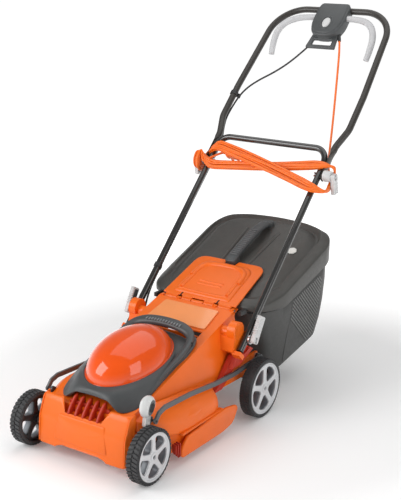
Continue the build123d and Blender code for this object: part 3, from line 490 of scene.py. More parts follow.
# ---- motor flex down the left side of the handle
BACK = -13.4
flex_route = [on_handle(*place) for place in (
    (-47, 1081.5, -4), (-62, 1054, -5), (-92, 1008, -6), (-126, 968, -5), (-162, 934, -3), (-192, 904, -6),
    (-212, 872, -11), (-222, 828, -15), (-225, 780, -15.5), (-217, 742, -15), (-208, 714, -16), (-202, 690, -17),
    (-197, 650, -16.5), (-195, 590, -14.2), (-194.6, 510, BACK - 0.3), (-194.9, 430, BACK),
    (-194.6, 350, BACK - 0.3), (-194.9, 270, BACK), (-194.5, 200, BACK - 0.3), (-194.4, 160, -14.1))]
foot_route = [on_handle(*place) for place in ((-194.4, 166, -14.1), (-194.3, 136, -14.6), (-192, 100, -19),
                                              (-189, 70, -26))]
foot_route += [Vector(place) for place in ((-188, -126, 247), (-179.5, -126.5, 234), (-162.5, -123.5, 228.5),
                                           (-143, -121, 227.5), (-125, -127.8, 226.5))]
for name, points, nodes, bodies, start, end in (
        ("motor_flex", flex_route, ["flex_upper", "flex_lower"], ("lower_handle_body", "upper_handle_body"),
         on_handle(0, 690), on_handle(0, 772)),
        ("motor_flex_foot", foot_route, ["flex_deck"], ("deck", "lower_handle_body"), foot_route[4], foot_route[1])):
    flex, line, length = cord_tube(name, points, 3.0, "flex", 10)
    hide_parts(*nodes)
    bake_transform(flex)

# ---- wheels
SPOKES = 5
TYRE_WIDTH = 38.9
TREAD_ROWS = 2
# axle, tyre radius, rim radius, outer face, tread blocks round the tyre, their height and their share of the pitch
WHEELS = {"front": (FRONT_AXLE, 74.3, 65.6, 213.9, 40, 3.6, 0.33),
          "rear": (REAR_AXLE, 86.5, 76.3, 230.4, 64, 1.6, 0.40)}


def window_loop(radius, k, inset):
    """One see-through window between two spokes of a wheel."""
    middle = 2 * pi * (k + 0.5) / SPOKES + radians(18)
    inner, outer = radius * 0.30 + inset, radius * 0.845 - inset
    near, far = radians(13) - inset / (radius * 0.3), radians(28.5) - inset / (radius * 0.8)
    half = [(inner, near), (outer * 0.72, far * 0.93), (outer * 0.94, far), (outer, far * 0.62)]
    points = [(r * cos(middle + a), r * sin(middle + a)) for r, a in
              [(r, -a) for r, a in half] + [(outer * 1.015, 0)] + half[::-1]]
    radii = [radius * 0.05, 3, radius * 0.09, 4]
    return rounded(points, radii + [4] + radii[::-1], 4)


def wheel(word, side, axle, radius, rim_radius, x_out, blocks, proud, share):
    y, z = axle
    body = f"{word}_wheel"
    x_in = x_out - TYRE_WIDTH
    core = radius - proud
    shoulder = [(4, rim_radius - 1.5), (1.2, rim_radius + 1), (0, rim_radius + 3), (0, core - 6), (1.5, core - 2.2),
                (5, core), (12, core + 0.2)]
    profile = [(x_in + dx, r) for dx, r in shoulder] + [(x_out - dx, r) for dx, r in shoulder[::-1]]
    parts = [lathe_x([(side * x, r) for x, r in profile], y, z, 120)]
    half = (TYRE_WIDTH - 2.4) / TREAD_ROWS / 2
    for row in range(TREAD_ROWS):
        middle = x_in + 1.2 + (2 * row + 1) * half
        for k in range(blocks):
            angle = 2 * pi * (k + 0.5 * (row % 2)) / blocks
            radial = Vector((0, cos(angle), sin(angle)))
            around = Vector((0, -sin(angle), cos(angle)))
            slant = ACROSS * side + around * (0.28 if row % 2 else -0.28)
            centre = Vector((side * middle, y, z)) + radial * (core + proud / 2 - 0.6)
            parts.append(lump(centre, (slant, around, radial),
                              (half * 0.86, 2 * pi * radius / blocks * share, proud / 2 + 0.55)))
    solid(f"{word}_tyre_tread", parts, "tyre", body, sharp=30, bevel=0.5, segments=1, replaced=[f"{word}_tyre"])

    def spoked(part, material, gap, inset, low, high, edge, **look):
        loops = [oval(rim_radius - gap, rim_radius - gap, 96), oval(5.2, 5.2, 24)]
        loops += [window_loop(rim_radius, k, inset) for k in range(SPOKES)]
        panel(f"{word}_rim_{part}", loops, ((side * (x_out - 3.2), y, z), (0, side, 0), UP), low, high, edge,
              material, body, sharp=50, **look)

    def rings(part, material, face, out, turns, rim_profile, hub_profile):
        solid(f"{word}_rim_{part}",
              [lathe_x([(side * (face + out * dx), rim_radius + dr) for dx, dr in rim_profile], y, z, turns),
               lathe_x([(side * (face + out * dx), r) for dx, r in hub_profile], y, z, 48)],
              material, body, sharp=40)

    # silver face and rings, the rim's wells behind the windows darkened with painted shade, and the black inner side
    spoked("face", "silver", 1.2, 0, -5.5, 0, 1.6, replaced=[f"{word}_rim"])
    rings("lip", "silver", x_out, -1, 120,
          ((8, -0.4), (2.4, -0.4), (0.8, -1.4), (0.6, -3.2), (1.6, -5.0), (3.4, -6.2), (8, -6.2)),
          ((6, 13), (1.9, 12.5), (1.2, 11), (1.2, 6.4), (2.4, 5.6), (6, 5.6)))
    spoked("well", "silver_in_shade", 2, 0.35, -22, -5.4, 0.4)
    spoked("back", "black", 2, 0.8, -27, -22, 0.8)
    rings("barrel", "black", x_in, 1, 96, ((1.0, -0.6), (0.4, -2.2), (1.6, -4.4), (16, -4.4), (16, -0.6)),
          ((2.2, 12), (2.2, 5.5), (18, 5.5), (18, 13.5)))


for side, word in SIDES:
    for end, sizes in WHEELS.items():
        wheel(f"{end}_{word}", side, *sizes)

# ---- motor cover
DOME_X, DOME_V, DOME_HEIGHT = 101, 145, 82.5
rim_t, rim_n = slope(DECK_SLOPE - radians(6.5))


def on_rim(x, v, n=0.0):
    """The dome's rim lies flatter than the deck."""
    return on_deck(0, -19, 25) + ACROSS * x + rim_t * v + rim_n * n


dome_rings = []
for step in range(19):
    lift = radians(step * 4.95)
    grow = cos(lift) ** 0.87
    dome_rings.append(hoop(on_rim(0, 0, DOME_HEIGHT * sin(lift) - 7), ACROSS, rim_t, DOME_X * grow, DOME_V * grow, 80))
solid("dome", [loft(dome_rings)], "dome", "deck", sharp=60, replaced=["motor_cover"])
dome_lip = [[on_rim((DOME_X + dr) * cos(a), (DOME_V + dr) * sin(a), h)
             for dr, h in ((-2.2, -2), (-1.2, 2.2), (0.4, 3.2), (2.0, 2.4), (2.6, -2))]
            for a in (2 * pi * k / 96 for k in range(97))]
solid("dome_lip", [loft(dome_lip, closed=False, caps=False)], "dome", "deck", sharp=60)

# ---- bezel: a collar round the dome
# foot of the collar on the deck from the front round to the rear: across, up the slope, above the deck
FOOT = ((0, -190, 30), (28, -191, 30), (54, -192, 28), (72, -196, 18), (88, -197, 7), (106, -186, 2), (124, -156, 0.6),
        (125, -100, 0.6), (122, -36, 0.6), (121, 30, 0.6), (122, 88, 0.6), (100, 132, 0.6), (0, 148, 0.6))


def foot_at(share):
    """A smooth curve through the places in FOOT."""
    place = share * (len(FOOT) - 1)
    k = min(int(place), len(FOOT) - 2)
    t = place - k
    p0, p1, p2, p3 = (Vector(FOOT[max(0, min(len(FOOT) - 1, k + step))]) for step in (-1, 0, 1, 2))
    return p1 + 0.5 * t * ((p2 - p0) + t * ((2 * p0 - 5 * p1 + 4 * p2 - p3) + t * (3 * (p1 - p2) + p3 - p0)))


collar_rings = []
for k in range(145):
    a = 2 * pi * k / 144
    c, s = cos(a), sin(a)
    x, v, n = foot_at((asin(max(-1.0, min(1.0, s))) + pi / 2) / pi)
    foot = on_deck(copysign(x, c), v, n)
    top = on_rim(110 * c, 154 * s, 0)
    out = (ACROSS * c + deck_t * s).normalized()
    ring = [on_rim(rx * c, rv * s, n) for rx, rv, n in ((103.2, 147.2, -6), (103.2, 147.2, 1.2), (104.6, 148.6, 2.8),
                                                        (107.4, 151.4, 2.2))] + [top]
    for part in (0.15, 0.3, 0.5, 0.7, 0.85, 0.95):
        swell = 7.0 * sin(pi * part) ** 0.7
        ring.append(top.lerp(foot, part) + out * swell * 0.55 + deck_n * swell * 0.6)
    ring += [foot, foot - deck_n * 2.5 - out * 2.5, foot - deck_n * 1.5 - out * 12]
    collar_rings.append(ring)
solid("bezel_collar", [loft(collar_rings, closed=False, caps=False)], "charcoal", "deck", sharp=70)
bezel_outline = mirrored([(-123, -60), (-119, 0), (-121, 70), (-123, 112), (-106, 150), (-80, 150), (-80, 128),
                          (-88, 120), (-88, 96)], [4, 60, 60, 30, 24, 4, 6, 6, 6])
panel("bezel_frame", [bezel_outline], DECK_PLANE, 0.6, 11.5, 4.5, "charcoal", "deck", sharp=40, replaced=["bezel"])

# carry handle: a wide flat band that runs on from the collar's sides and rises behind the dome
CARRY = [(-112, -60, 12), (-114, 0, 13), (-113, 60, 14), (-110, 106, 17), (-97, 137, 23), (-66, 150, 30),
         (-24, 154, 33)]
guide = spline_curve("grip_guide", [on_deck(*place) for place in CARRY + [(-x, v, n) for x, v, n in CARRY[::-1]]],
                     1.0, resolution=10)
line = [p / MM for p in centre_line(guide)]
bpy.data.objects.remove(guide)
rings = []
for k, here in enumerate(line):
    run = (line[min(k + 1, len(line) - 1)] - line[max(k - 1, 0)]).normalized()
    outward = run.cross(deck_n).normalized()
    middle = max(0.0, 1 - abs(k / (len(line) - 1) - 0.5) / 0.30)
    half = 9.5 + 5.5 * min(1, middle * 1.6)
    deep = 6.5 + 1.5 * middle
    rings.append([here + outward * (half * boxy(p.x, 0.65)) +
                  deck_n * (deep * boxy(p.y, 0.7) - 4.0 * (p.x if p.x > 0 else 0.25 * p.x)) for p in oval(1, 1, 24)])
solid("carry_handle", [loft(rings)], "charcoal", "deck", sharp=60)
solid("carry_handle_ribs", [lump(on_deck(k * 9.4, 147.0 - 0.05 * k * k, 40.2 - 0.06 * k * k), DECK_AXES,
                                 (2.6, 5.0, 1.5))
                            for k in range(-6, 7)], "link_pale", "deck", sharp=40, bevel=0.9)
# dark cylinders in the screw wells: painted shade inside the holes
solid("bezel_screw_wells", [loft([hoop(on_deck(side * 116, 108, h), ACROSS, deck_t, 3.4, 3.4, 20) for h in (12, 22.6)])
                            for side, _ in SIDES], "hole_shadow", "deck")

# ---- inset panel and flap
dress("chute_cover", "pale_orange", bevel=1.2, segments=3)
flap_outline = mirrored([(128, 9), (119, 206), (21, 206), (18, 186)], [4, 36, 6, 6])
panel("flap_panel", [flap_outline], FLAP_PLANE, 2.6, 7.6, 2.2, "orange", "flap", sharp=45, replaced=["rear_flap"])
pad_rings = []
for inset, height in ((0, 6.5), (1.5, 9.5), (6, 12.2), (12, 13.2)):
    outline = mirrored([(98 - inset, 20 + inset), (92 - inset, 186 - inset)], [8, 42 - inset], 10)
    pad_rings.append([on_flap(p.x, p.y, height) for p in outline])
solid("flap_pad", [loft(pad_rings)], "orange", "flap", sharp=50)
# arched finger rim, two raised rails and three low ribs on the pad
for name, radius, points in (
        ("flap_arch", 11.0, [(-80, 100), (-80, 136), (-68, 160), (-36, 170), (0, 172), (36, 170), (68, 160), (80, 136),
                             (80, 100)]),
        ("flap_rail_left", 7.0, [(-80, 40), (-78, 80), (-76, 130)]),
        ("flap_rail_right", 7.0, [(80, 40), (78, 80), (76, 130)]),
        ("flap_rib", 4.0, [(-84, 34), (-30, 31), (30, 31), (84, 34)]),
        ("flap_rib_upper", 4.0, [(-40, 84), (0, 82), (40, 84)]),
        ("flap_rib_lower", 4.0, [(-40, 70), (0, 68), (40, 70)])):
    rod(name, [on_flap(x, v, 14.0 - 0.62 * radius) for x, v in points], radius, "orange", "flap", sharp=60)


def hinge_row(name, body, spans, radius, strap, strap_half):
    """Barrels on the hinge line, each with a strap to its panel."""
    parts = []
    for low, high in spans:
        parts.append(loft([hoop(Vector((x, *FLAP_HINGE)), ALONG, UP, r, r, 24) for x, r in
                           ((low, radius - 1.4), (low + 1, radius), (high - 1, radius), (high, radius - 1.4))]))
        parts.append(lump(on_flap((low + high) / 2, *strap), FLAP_AXES, ((high - low) / 2, *strap_half)))
    solid(name, parts, "orange", body, sharp=40)


hinge_row("flap_barrels", "flap", ((-114, -72), (-56, -22), (22, 56), (72, 114)), 6, (8, 4.6), (6, 2.6))
hinge_row("deck_knuckles", "deck", ((-70.5, -57.5), (-20.5, 20.5), (57.5, 70.5)), 6.2, (-4, -6), (7, 3.5))
# the pocket's floor is orange with painted shade
panel("carry_pocket", [mirrored([(96, 88), (96, 188)], 8)], DECK_PLANE, -47, -44, 1.0, "orange_painted_shade", "deck",
      sharp=45)
solid("carry_pocket_wall", [lump(on_deck(0, 163, -21), DECK_AXES, (97, 1.5, 21))], "orange", "deck", bevel=0.6)
panel("hinge_bridge", [mirrored([(126, -9), (126, 22)], 4)], FLAP_PLANE, -11.5, -7.5, 1.2, "orange", "deck", sharp=45)
# near-black strips on the flap: painted shade in its slots
solid("flap_slots", [lump(on_flap(x, 14, 7.9), FLAP_AXES, (2.2, 9, 0.5)) for x in (-64, 64)], "hole_shadow", "flap",
      bevel=0.3, segments=1)


# ---- front bumper
def along(table, place):
    """The value at a place in a table of (place, value), with straight runs between its rows."""
    for (y0, z0), (y1, z1) in zip(table, table[1:]):
        if place <= y1:
            return z0 + (z1 - z0) * max(0, (place - y0) / (y1 - y0))
    return table[-1][1]


BUMPER_FACE = ((60, -655), (110, -651), (162, -629))
BUMPER_HALF, BUMPER_TOP, GRILLE_FOOT = 144, 166, 133
HALF_COLUMNS = [20, 40, 60, 78, 86, 108, 130, 139, 143, BUMPER_HALF]


def bumper_y(x, z):
    return along(BUMPER_FACE, z) + 3.0 * (x / BUMPER_HALF) ** 2


rows = []
for z in (34, 36, 48, 50, 62, 70, 84, 98, 108, 118, 128, 140, 150, 158, 163, BUMPER_TOP):
    row = []
    for x in [-x for x in HALF_COLUMNS[::-1]] + [0] + HALF_COLUMNS:
        foot = max(34, 48 - max(0, abs(x) - 70))
        height = min(max(z, foot), BUMPER_TOP if abs(x) > 70 else GRILLE_FOOT)
        wrap_back = 9.0 * max(0, (abs(x) - 136) / 8) ** 2
        crown = 6.4 if height > 163 else 2.4 if height > 160 else 0
        row.append((x, bumper_y(x, height) + wrap_back + crown, height))
    rows.append(row)
front = mesh_object("bumper_skin", *loft(rows, closed=False, caps=False))
thicken(front, 3.5, -1)
finish_mesh(front, "orange", "deck", sharp=40, replaced=["front_panel"])
raised = []
for inset, depth in ((0, 0.4), (1.2, 2.6), (3.0, 3.2)):
    outline = rounded([(-88 + inset, 58 + inset), (88 - inset, 58 + inset), (76 - inset, 128 - inset),
                       (-76 + inset, 128 - inset)], 5, 4)
    raised.append([Vector((p.x, bumper_y(p.x, p.y) - depth, p.y)) for p in outline])
solid("bumper_plate", [loft(raised)], "orange", "deck", sharp=45)
wing_outline = rounded([(-652, 36), (-652, 60), (-648, 110), (-628, 160), (-604, 168), (-604, 130), (-628, 60),
                        (-630, 36)], [2, 6, 10, 6, 4, 10, 6, 2])
for side, word in SIDES:
    panel(f"bumper_wing_{word}", [wing_outline], ((side * 142.5, 0, 0), ALONG, UP), -1.8, 1.8, 1.2, "orange", "deck",
          sharp=45)
# five slanted fins over a recess, both in orange with painted shade
solid("grille_recess", [lump((0, -611, 146), (ACROSS, (0, 1, 0.35), UP), (66, 3, 14))], "orange_painted_shade", "deck",
      bevel=1.0)
fin_outline = rounded([(-646, 132), (-636, 150), (-614, 175), (-602, 176), (-602, 150), (-614, 132)],
                      [5, 12, 8, 2, 2, 2])
for k in range(5):
    panel(f"grille_fin_{k + 1}", [fin_outline], (((k - 2) * 24, 0, 0), ALONG, UP), -3.6, 3.6, 2.6, "orange_painted_shade",
          "deck", sharp=60, replaced=["air_grille"] if k == 0 else ())

# ---- side lobes over the blade housing
LINK_LINE = ((-590, 150), (-568, 160), (-533, 170), (-480, 168), (-416, 165), (-344, 157), (-290, 152), (-270, 150))
LOBE_PLAN = [(140, -600), (152, -592), (166, -578), (180, -556), (191, -528), (198, -496), (201.5, -460),
             (202.5, -420), (202.5, -380), (202, -340), (200, -312), (194, -294), (182, -284), (166, -280)]
for side, word in SIDES:
    rings = []
    for k, (x, y) in enumerate(LOBE_PLAN):
        before, after = LOBE_PLAN[max(0, k - 1)], LOBE_PLAN[min(len(LOBE_PLAN) - 1, k + 1)]
        run = Vector((after[0] - before[0], after[1] - before[1])).normalized()
        out = Vector((run.y, -run.x)) * (1 if run.y >= 0 else -1)
        top = along(LINK_LINE, y)
        foot = 118 - 38 * min(1, max(0, (y + 600) / 130)) ** 0.7
        rings.append([(side * (x - out.x * inward), y - out.y * inward * 0.5, z) for inward, z in (
            (8, foot), (2.5, foot - 1.5), (0, foot + 2), (0, foot + 18), (2.5, foot + 34),
            (9, foot + 0.62 * (top - foot)), (22, foot + 0.84 * (top - foot)), (40, top - 2), (56, top + 1))])
    lobe = mesh_object(f"housing_lobe_{word}", *loft(rings, closed=False, caps=False))
    thicken(lobe, 3, -side)
    finish_mesh(lobe, "orange", "deck", sharp=70, smooth=1)

# ---- side skirts with comb fins
skirt_outline = rounded([(-493, 20), (-300, 20), (-246, 29), (-222, 66), (-230, 78), (-283, 88), (-403, 78),
                         (-470, 73), (-497, 44)], [10, 20, 16, 8, 8, 20, 30, 10, 10])
for side, word in SIDES:
    panel(f"side_skirt_{word}", [[(side * p.x, p.y) for p in skirt_outline]], ((side * 208, 0, 0), (0, side, 0), UP),
          -4.5, 4.5, 3.2, "orange", "deck", sharp=50, replaced=["side_skirts"] if side > 0 else ())
    solid(f"skirt_shelf_{word}", [lump((side * 200, -388, 84), (ACROSS, (0, 1, 0.02), UP), (7, 96, 3))], "orange",
          "deck", bevel=1.5)
    # comb fins in orange with painted shade
    for k in range(3):
        fin = rounded([(side * 198, 70), (side * 212.5, 68), (side * (212.5 - k), 30 + 7 * k),
                       (side * 205, 24 + 8 * k), (side * 198, 34 + 8 * k)][::side], 3)
        panel(f"skirt_fin_{word}_{k + 1}", [fin], ((0, -503 - 9 * k, 0), ACROSS, UP), -1.5, 1.5, 0.8, "orange_painted_shade",
              "deck")

# ---- carried-over deck nodes
EAR_Y, EAR_Z = -184, 275
dress("deck_shell", "orange", bevel=1.6)
dress("handle_ears", "orange", bevel=2.5, segments=3)
# the wheel gussets are orange with painted shade
dress("wheel_gussets", "orange_painted_shade", bevel=2.0)
for side, word in SIDES:
    solid(f"ear_boss_{word}", [lathe_x([(side * (184 + dx), r) for dx, r in (
        (-14, 26.8), (-2, 26.8), (0.6, 24.5), (1.2, 21), (0.4, 19.5), (0.4, 0.01))], EAR_Y, EAR_Z, 48, closed=False)],
          "orange", "deck", sharp=50)
    dress(f"{word}_link_bar", "link", bevel=1.2)
for material, nodes in (
        ("steel", ("motor_bearings", "rotor_shaft", "blade_bolt", "lower_bolts", "upper_bolts", "flap_pin",
                   "flap_spring", "bail_spring")),
        ("dark_steel", ("blade", "rear_axle", "front_left_crank", "front_right_crank")),
        ("black", ("cooling_fan", "switch_parts", "box_hooks", "lower_clip", "upper_clip")),
        ("cast", ("blade_carrier",)), ("core", ("motor_stator",))):
    for node in nodes:
        dress(node, material, bevel=0.5)
dress("lower_handle", "gloss_tube")
dress("upper_handle", "grey_tube")

# ---- height knob: white egg with a dark ribbed inlay
KNOB = Vector((163.5, -583, 187))
knob_u, knob_v = slope(radians(-25))
rings = []
for step in range(13):
    lift = radians(15 * step - 90)
    grow = 29 * max(0.02, abs(cos(lift)) ** 0.62)
    rings.append([KNOB + ACROSS * (11 * boxy(sin(lift), 0.9)) + knob_u * (grow * p.x * (1 + 0.12 * p.y)) +
                  knob_v * (grow * p.y) for p in oval(1, 1, 40)])
neck = lump((163.5, -585, 156), (ACROSS, (0, 1, -0.15), (0, 0.15, 1)), (5.5, 9.5, 20))
solid("height_knob_body", [loft(rings), neck], "white", "right_crank", sharp=60, replaced=["height_knob"])
panel("height_knob_inlay", [oval(12, 20, 40)], (KNOB + knob_u * 6, knob_u, knob_v), 9.4, 11.6, 0.9, "link",
      "right_crank")
bars = [lump(KNOB + knob_u * (6 + dx) + ACROSS * 11.8, (knob_u, knob_v, ACROSS), (1.2, 13 - abs(dx) * 0.5, 0.9))
        for dx in (-7, -3.5, 0, 3.5, 7)]
solid("height_knob_ribs", bars, "black", "right_crank", bevel=0.5, segments=2)


# ---- cam levers
def lever(word, side, origin, toward, length, width, teeth):
    """A cam lever: a thick eye round its bolt and a flat paddle with one serrated edge."""
    name, body = f"{word}_lever_paddle", f"{word}_lever"
    thick = 13
    direction = (handle_t * toward[0] + handle_n * toward[1]).normalized()
    normal = ACROSS * side
    across = normal.cross(direction) * side
    reach = length - 4
    step = (reach - 16) / teeth
    outline = [(-9, -12), (6, -13), (16, -width * 0.42), (reach, -width * 0.5)]
    for k in range(teeth):
        outline += [(reach - step * (k + 0.15), width * 0.5), (reach - step * (k + 0.55), width * 0.5 - 3.2),
                    (reach - step * (k + 0.75), width * 0.5 - 3.2)]
    outline += [(10, 13), (-9, 12)]
    notch = rounded([(-7, -5.8), (9.5, -5.8), (9.5, 5.8), (-7, 5.8)], 2, 3)
    panel(name, [rounded(outline, [6, 6, 10, 6] + [1.0, 0.9, 0.9] * teeth + [6, 6], 3), notch],
          (origin, direction, across), -thick / 2, thick / 2, 1.6, "pale", body, sharp=50,
          replaced=[f"{word}_cam_lever"])
    grips = [lump(origin + direction * (20 + (length - 28) * k / teeth) + normal * (thick / 2 + 0.2),
                  (direction, across, normal), (1.3, width * 0.30, 0.9)) for k in range(teeth + 1)]
    solid(name + "_grip", grips, "pale", body, bevel=0.6, segments=2)
    scoop = rounded([(16, -width * 0.34), (length - 10, -width * 0.34), (length - 10, width * 0.24),
                     (16, width * 0.24)], 5)
    panel(name + "_scoop", [scoop], (origin - normal * (thick / 2 + 0.1), direction, across), -0.5, 0.5, 0.3,
          "charcoal", body)


PEG_S = 600
for side, word in SIDES:
    lever(f"{word}_lower", side, on_handle(side * 222, 36, -3), (0.96, 0.27), 76, 30, 8)
    lever(f"{word}_upper", side, on_handle(side * 245.9, PEG_S), (-0.56, -0.83), 58, 28, 5)
    peg = lathe_x([(side * x, r) for x, r in ((213.5, 12), (214, 17), (222, 17.6), (236, 16.4), (238.5, 14.5),
                                              (238.9, 6.4), (214, 6.2))], *on_handle(0, PEG_S).yz, 40)
    solid(f"cord_peg_{word}", [peg], "pale", "lower_handle_body", sharp=50,
          replaced=["cord_pegs"] if side < 0 else ())

# ---- switch box, button and bail
box_outline = mirrored([(50, 1256), (57, 1236), (58, 1168), (44, 1130), (20, 1118)], [10, 16, 30, 22, 16])
panel("switch_box_body", [box_outline], HANDLE_PLANE, -16, 22, 5.5, "charcoal", "upper_handle_body", sharp=50,
      replaced=["switch_box"])
crown = []
for inset, height in ((4, 20), (6, 24), (11, 26)):
    outline = mirrored([(50 - inset, 1256 - inset), (56 - inset, 1236), (56 - inset, 1168),
                        (42 - inset * 0.7, 1134 + inset * 0.5), (18, 1122 + inset * 0.7)], [10, 14, 26, 20, 14], 5)
    crown.append([on_handle(p.x, p.y, height) for p in outline])
solid("switch_box_crown", [loft(crown)], "charcoal", "upper_handle_body", sharp=60)
ring_rows = [[on_handle((19 + dr) * cos(a), 1168 + (26 + dr) * sin(a), h)
              for dr, h in ((-3, 25.4), (-2, 27.2), (0, 28.0), (2.4, 27.2), (4, 25.4))]
             for a in (2 * pi * k / 48 for k in range(49))]
solid("button_ring", [loft(ring_rows, closed=False, caps=False)], "charcoal", "upper_handle_body", sharp=60)
frame_loops = [mirrored([(46, 1136), (53, 1082)], [2, 5]), mirrored([(34, 1116), (35, 1094)], 3)]
panel("switch_box_frame", frame_loops, HANDLE_PLANE, -9, 2, 3.2, "charcoal", "upper_handle_body", sharp=50)
gland_root = on_handle(44, 1144, -5)
gland_run = gland_end - gland_root
gland_side = gland_run.cross(ACROSS).normalized()
gland_over = gland_run.cross(gland_side).normalized()
rings = []
for step in range(13):
    t = step / 12
    radius = 7.4 - 2.6 * t + (0.45 if step % 2 else 0)
    rings.append(hoop(gland_root + gland_run * (t * 1.35 - 0.1), gland_side, gland_over, radius, radius, 24))
solid("cable_gland", [loft(rings)], "black", "upper_handle_body", sharp=40)
button = [hoop(on_handle(0, 1167, height), ACROSS, handle_t, 13.5 * grow, 20 * grow, 40)
          for grow, height in ((1, 18), (1, 26), (0.93, 28.6), (0.7, 30.2), (0.3, 30.8))]
solid("lock_button_cap", [loft(button)], "pale", "button_body", sharp=60, replaced=["lock_button"])
BAIL = ((10, 1205, 6), (72, 1205, 6), (130, 1193, 10), (168, 1157, 15), (181, 1105, 4), (173, 1053, -14))
for side, word in SIDES:
    rod(f"bail_{word}", [on_handle(side * x, s, n) for x, s, n in BAIL], 11.0, "pale_foam", "bail_body",
        taper=[0.86, 0.9, 1.0, 1.0, 1.0, 0.86], resolution=12, replaced=["bail"] if side < 0 else ())

# ---- grass box
dress("fill_indicator", "window", bevel=0.6)
BOX_FRONT = -92
BOX_HALF = 214
BOX_PLAN = rounded([(-150, BOX_FRONT), (150, BOX_FRONT), (194, -66), (BOX_HALF, 10), (219, 284), (190, 336),
                    (120, 358), (0, 368), (-120, 358), (-190, 336), (-219, 284), (-BOX_HALF, 10), (-194, -66)],
                   [30, 30, 34, 60, 40, 50, 90, 200, 90, 50, 40, 60, 34], 9)


def lid_top(y):
    return 374 + 0.385 * (y - 60)


def seam(y):
    """Height of the joint between lid and bin."""
    return 299.5 - 5 * (y - BOX_FRONT) / 114 if y < 22 else 294.5 + 0.291 * (y - 22)


def rim_top(y):
    return 314 + 23 * (y - BOX_FRONT) / 110 if y < 18 else 337 + 0.3546 * (y - 18)


def box_ring(inset, height):
    """The box's outline drawn in by a distance, at a height that follows the slope of the lid."""
    ring = []
    for p in BOX_PLAN:
        x, y = p.x * (1 - inset / BOX_HALF), 136 + (p.y - 136) * (1 - inset / 228)
        ring.append(Vector((x, y, height(y))))
    return ring


rings = [box_ring(inset, lambda y: seam(y) + lift) for inset, lift in ((9, 1.2), (0.6, 1.2), (0, 3))]
# inset, share of the way from the rim to the top, lift, and slope of the ledge inside the rim
rings += [box_ring(inset, lambda y: rim_top(y) + share * (lid_top(y) - rim_top(y)) + lift + tilt * (y - BOX_FRONT))
          for inset, share, lift, tilt in (
              (0, 0, -5, 0), (1.2, 0, -1.6, 0), (4, 0, 1, 0), (20, 0, 9, 0.02), (25, 0, 10, 0.02), (28, 0, 7, 0),
              (34, 0, 4, 0), (40, 0.2, 3, 0), (54, 0.8, -1, 0), (62, 1, -1.5, 0), (72, 1, 0, 0))]
solid("grass_box_lid", [loft(rings)], "lid", "grass_box", sharp=70, replaced=["box_lid"])
# two long shallow ridges on the lid beside the grip
for side, word in SIDES:
    rod(f"lid_ridge_{word}", [Vector((side * x, y, lid_top(y) + z)) for x, y, z in
                              ((46, 70, -3.4), (50, 130, -2.2), (54, 190, -2.2), (58, 250, -3.6))], 6.0, "lid",
        "grass_box", sharp=60)


def box_foot(y):
    return 83 + 0.235 * max(0, y - 76) + 0.55 * max(0, y - 296)


def bin_half(z):
    return 176 + (z - 78) * 0.1056


def side_at(y, z):
    """Half width of the bin at a place on its side."""
    return bin_half(z) * (0.995 + 0.026 * max(0, y - 10) / 274)


# level from foot to seam, front, rear and width of the bin
rings = []
for level, front_y, rear_y, width in (
        (0.0, 2, 318, 0.975), (0.03, -5, 330, 1), (0.22, -12, 352, 1), (0.45, -25, 360, 1), (0.72, -60, 362, 1),
        (0.97, -86, 354, 1), (0.98, -83, 351, 0.985), (1.0, -83, 351, 0.985)):
    ring = []
    for p in BOX_PLAN:
        y = front_y + (p.y - BOX_FRONT) / 456 * (rear_y - front_y)
        z = box_foot(y) + level * (seam(y) - 0.4 - box_foot(y))
        ring.append(Vector((p.x / BOX_HALF * bin_half(z) * width, y, z)))
    rings.append(ring)
solid("grass_box_bin", [loft(rings)], "bin", "grass_box", sharp=60, replaced=["box_bin"])
# louvres: long slanting ribs between the foot and the seam, and a rib along their edge
for side, word in SIDES:
    slats = []
    for number in range(34):
        start = 372 + 11.2 * (number - 12)
        ends = [(y, start - 0.86 * (y - 95)) for y in range(95, 265, 3)]
        ends = [(y, z) for y, z in ends if box_foot(y) + 15 < z < seam(y) - 20]
        if len(ends) > 7:
            first, last = (Vector((side * (side_at(*end) + 0.6), *end)) for end in (ends[0], ends[-1]))
            run = last - first
            slats.append(lump(first.lerp(last, 0.5), (run, run.cross(ACROSS), ACROSS), (run.length / 2, 2.1, 1.9)))
    solid(f"bin_louvres_{word}", slats, "louvre", "grass_box", bevel=0.6, segments=1)
    edge_line = [(y, box_foot(y) + level * (seam(y) - box_foot(y)))
                 for y, level in ((84, 0.06), (84, 0.86), (180, 0.88), (262, 0.88))]
    rod(f"bin_rib_{word}", [Vector((side * (side_at(y, z) - 1.2), y, z)) for y, z in edge_line], 2.6, "bin",
        "grass_box", resolution=10, sharp=60)
# grip: a rounded bar with grooves across its top
GRIP = [(54, 388, 0.9), (58, 400, 1), (80, 413, 1), (120, 431, 1), (170, 452, 1), (214, 467, 1), (256, 474, 1.02),
        (280, 470, 1.04), (288, 458, 1.04)]
rings = []
for k, (y, z, grow) in enumerate(GRIP):
    before, after = GRIP[max(0, k - 1)], GRIP[min(len(GRIP) - 1, k + 1)]
    run = Vector((0, after[0] - before[0], after[1] - before[1])).normalized()
    over = ACROSS.cross(run)
    rings.append([Vector((0, y, z)) + ACROSS * (17 * grow * boxy(p.x, 0.6)) + over * (8 * boxy(p.y, 0.7) - 7)
                  for p in oval(1, 1, 24)])
solid("box_grip_bar", [loft(rings)], "charcoal", "grass_box", sharp=60, replaced=["box_grip"])
lid_axes = (ACROSS, (0, 1, 0.385), (0, -0.385, 1))
solid("box_grip_feet", [lump((0, 70, 390), lid_axes, (17, 17, 12)), lump((0, 276, 462), lid_axes, (18, 13, 9))],
      "charcoal", "grass_box", bevel=4)
solid("box_grip_ribs", [lump((0, 72 + 120 * k / 14, 411.2 + 50.5 * k / 14), (ACROSS, (0, 1, 0.42), (0, -0.42, 1)),
                             (13, 2.0, 1.2)) for k in range(15)], "link", "grass_box", bevel=0.8, segments=2)

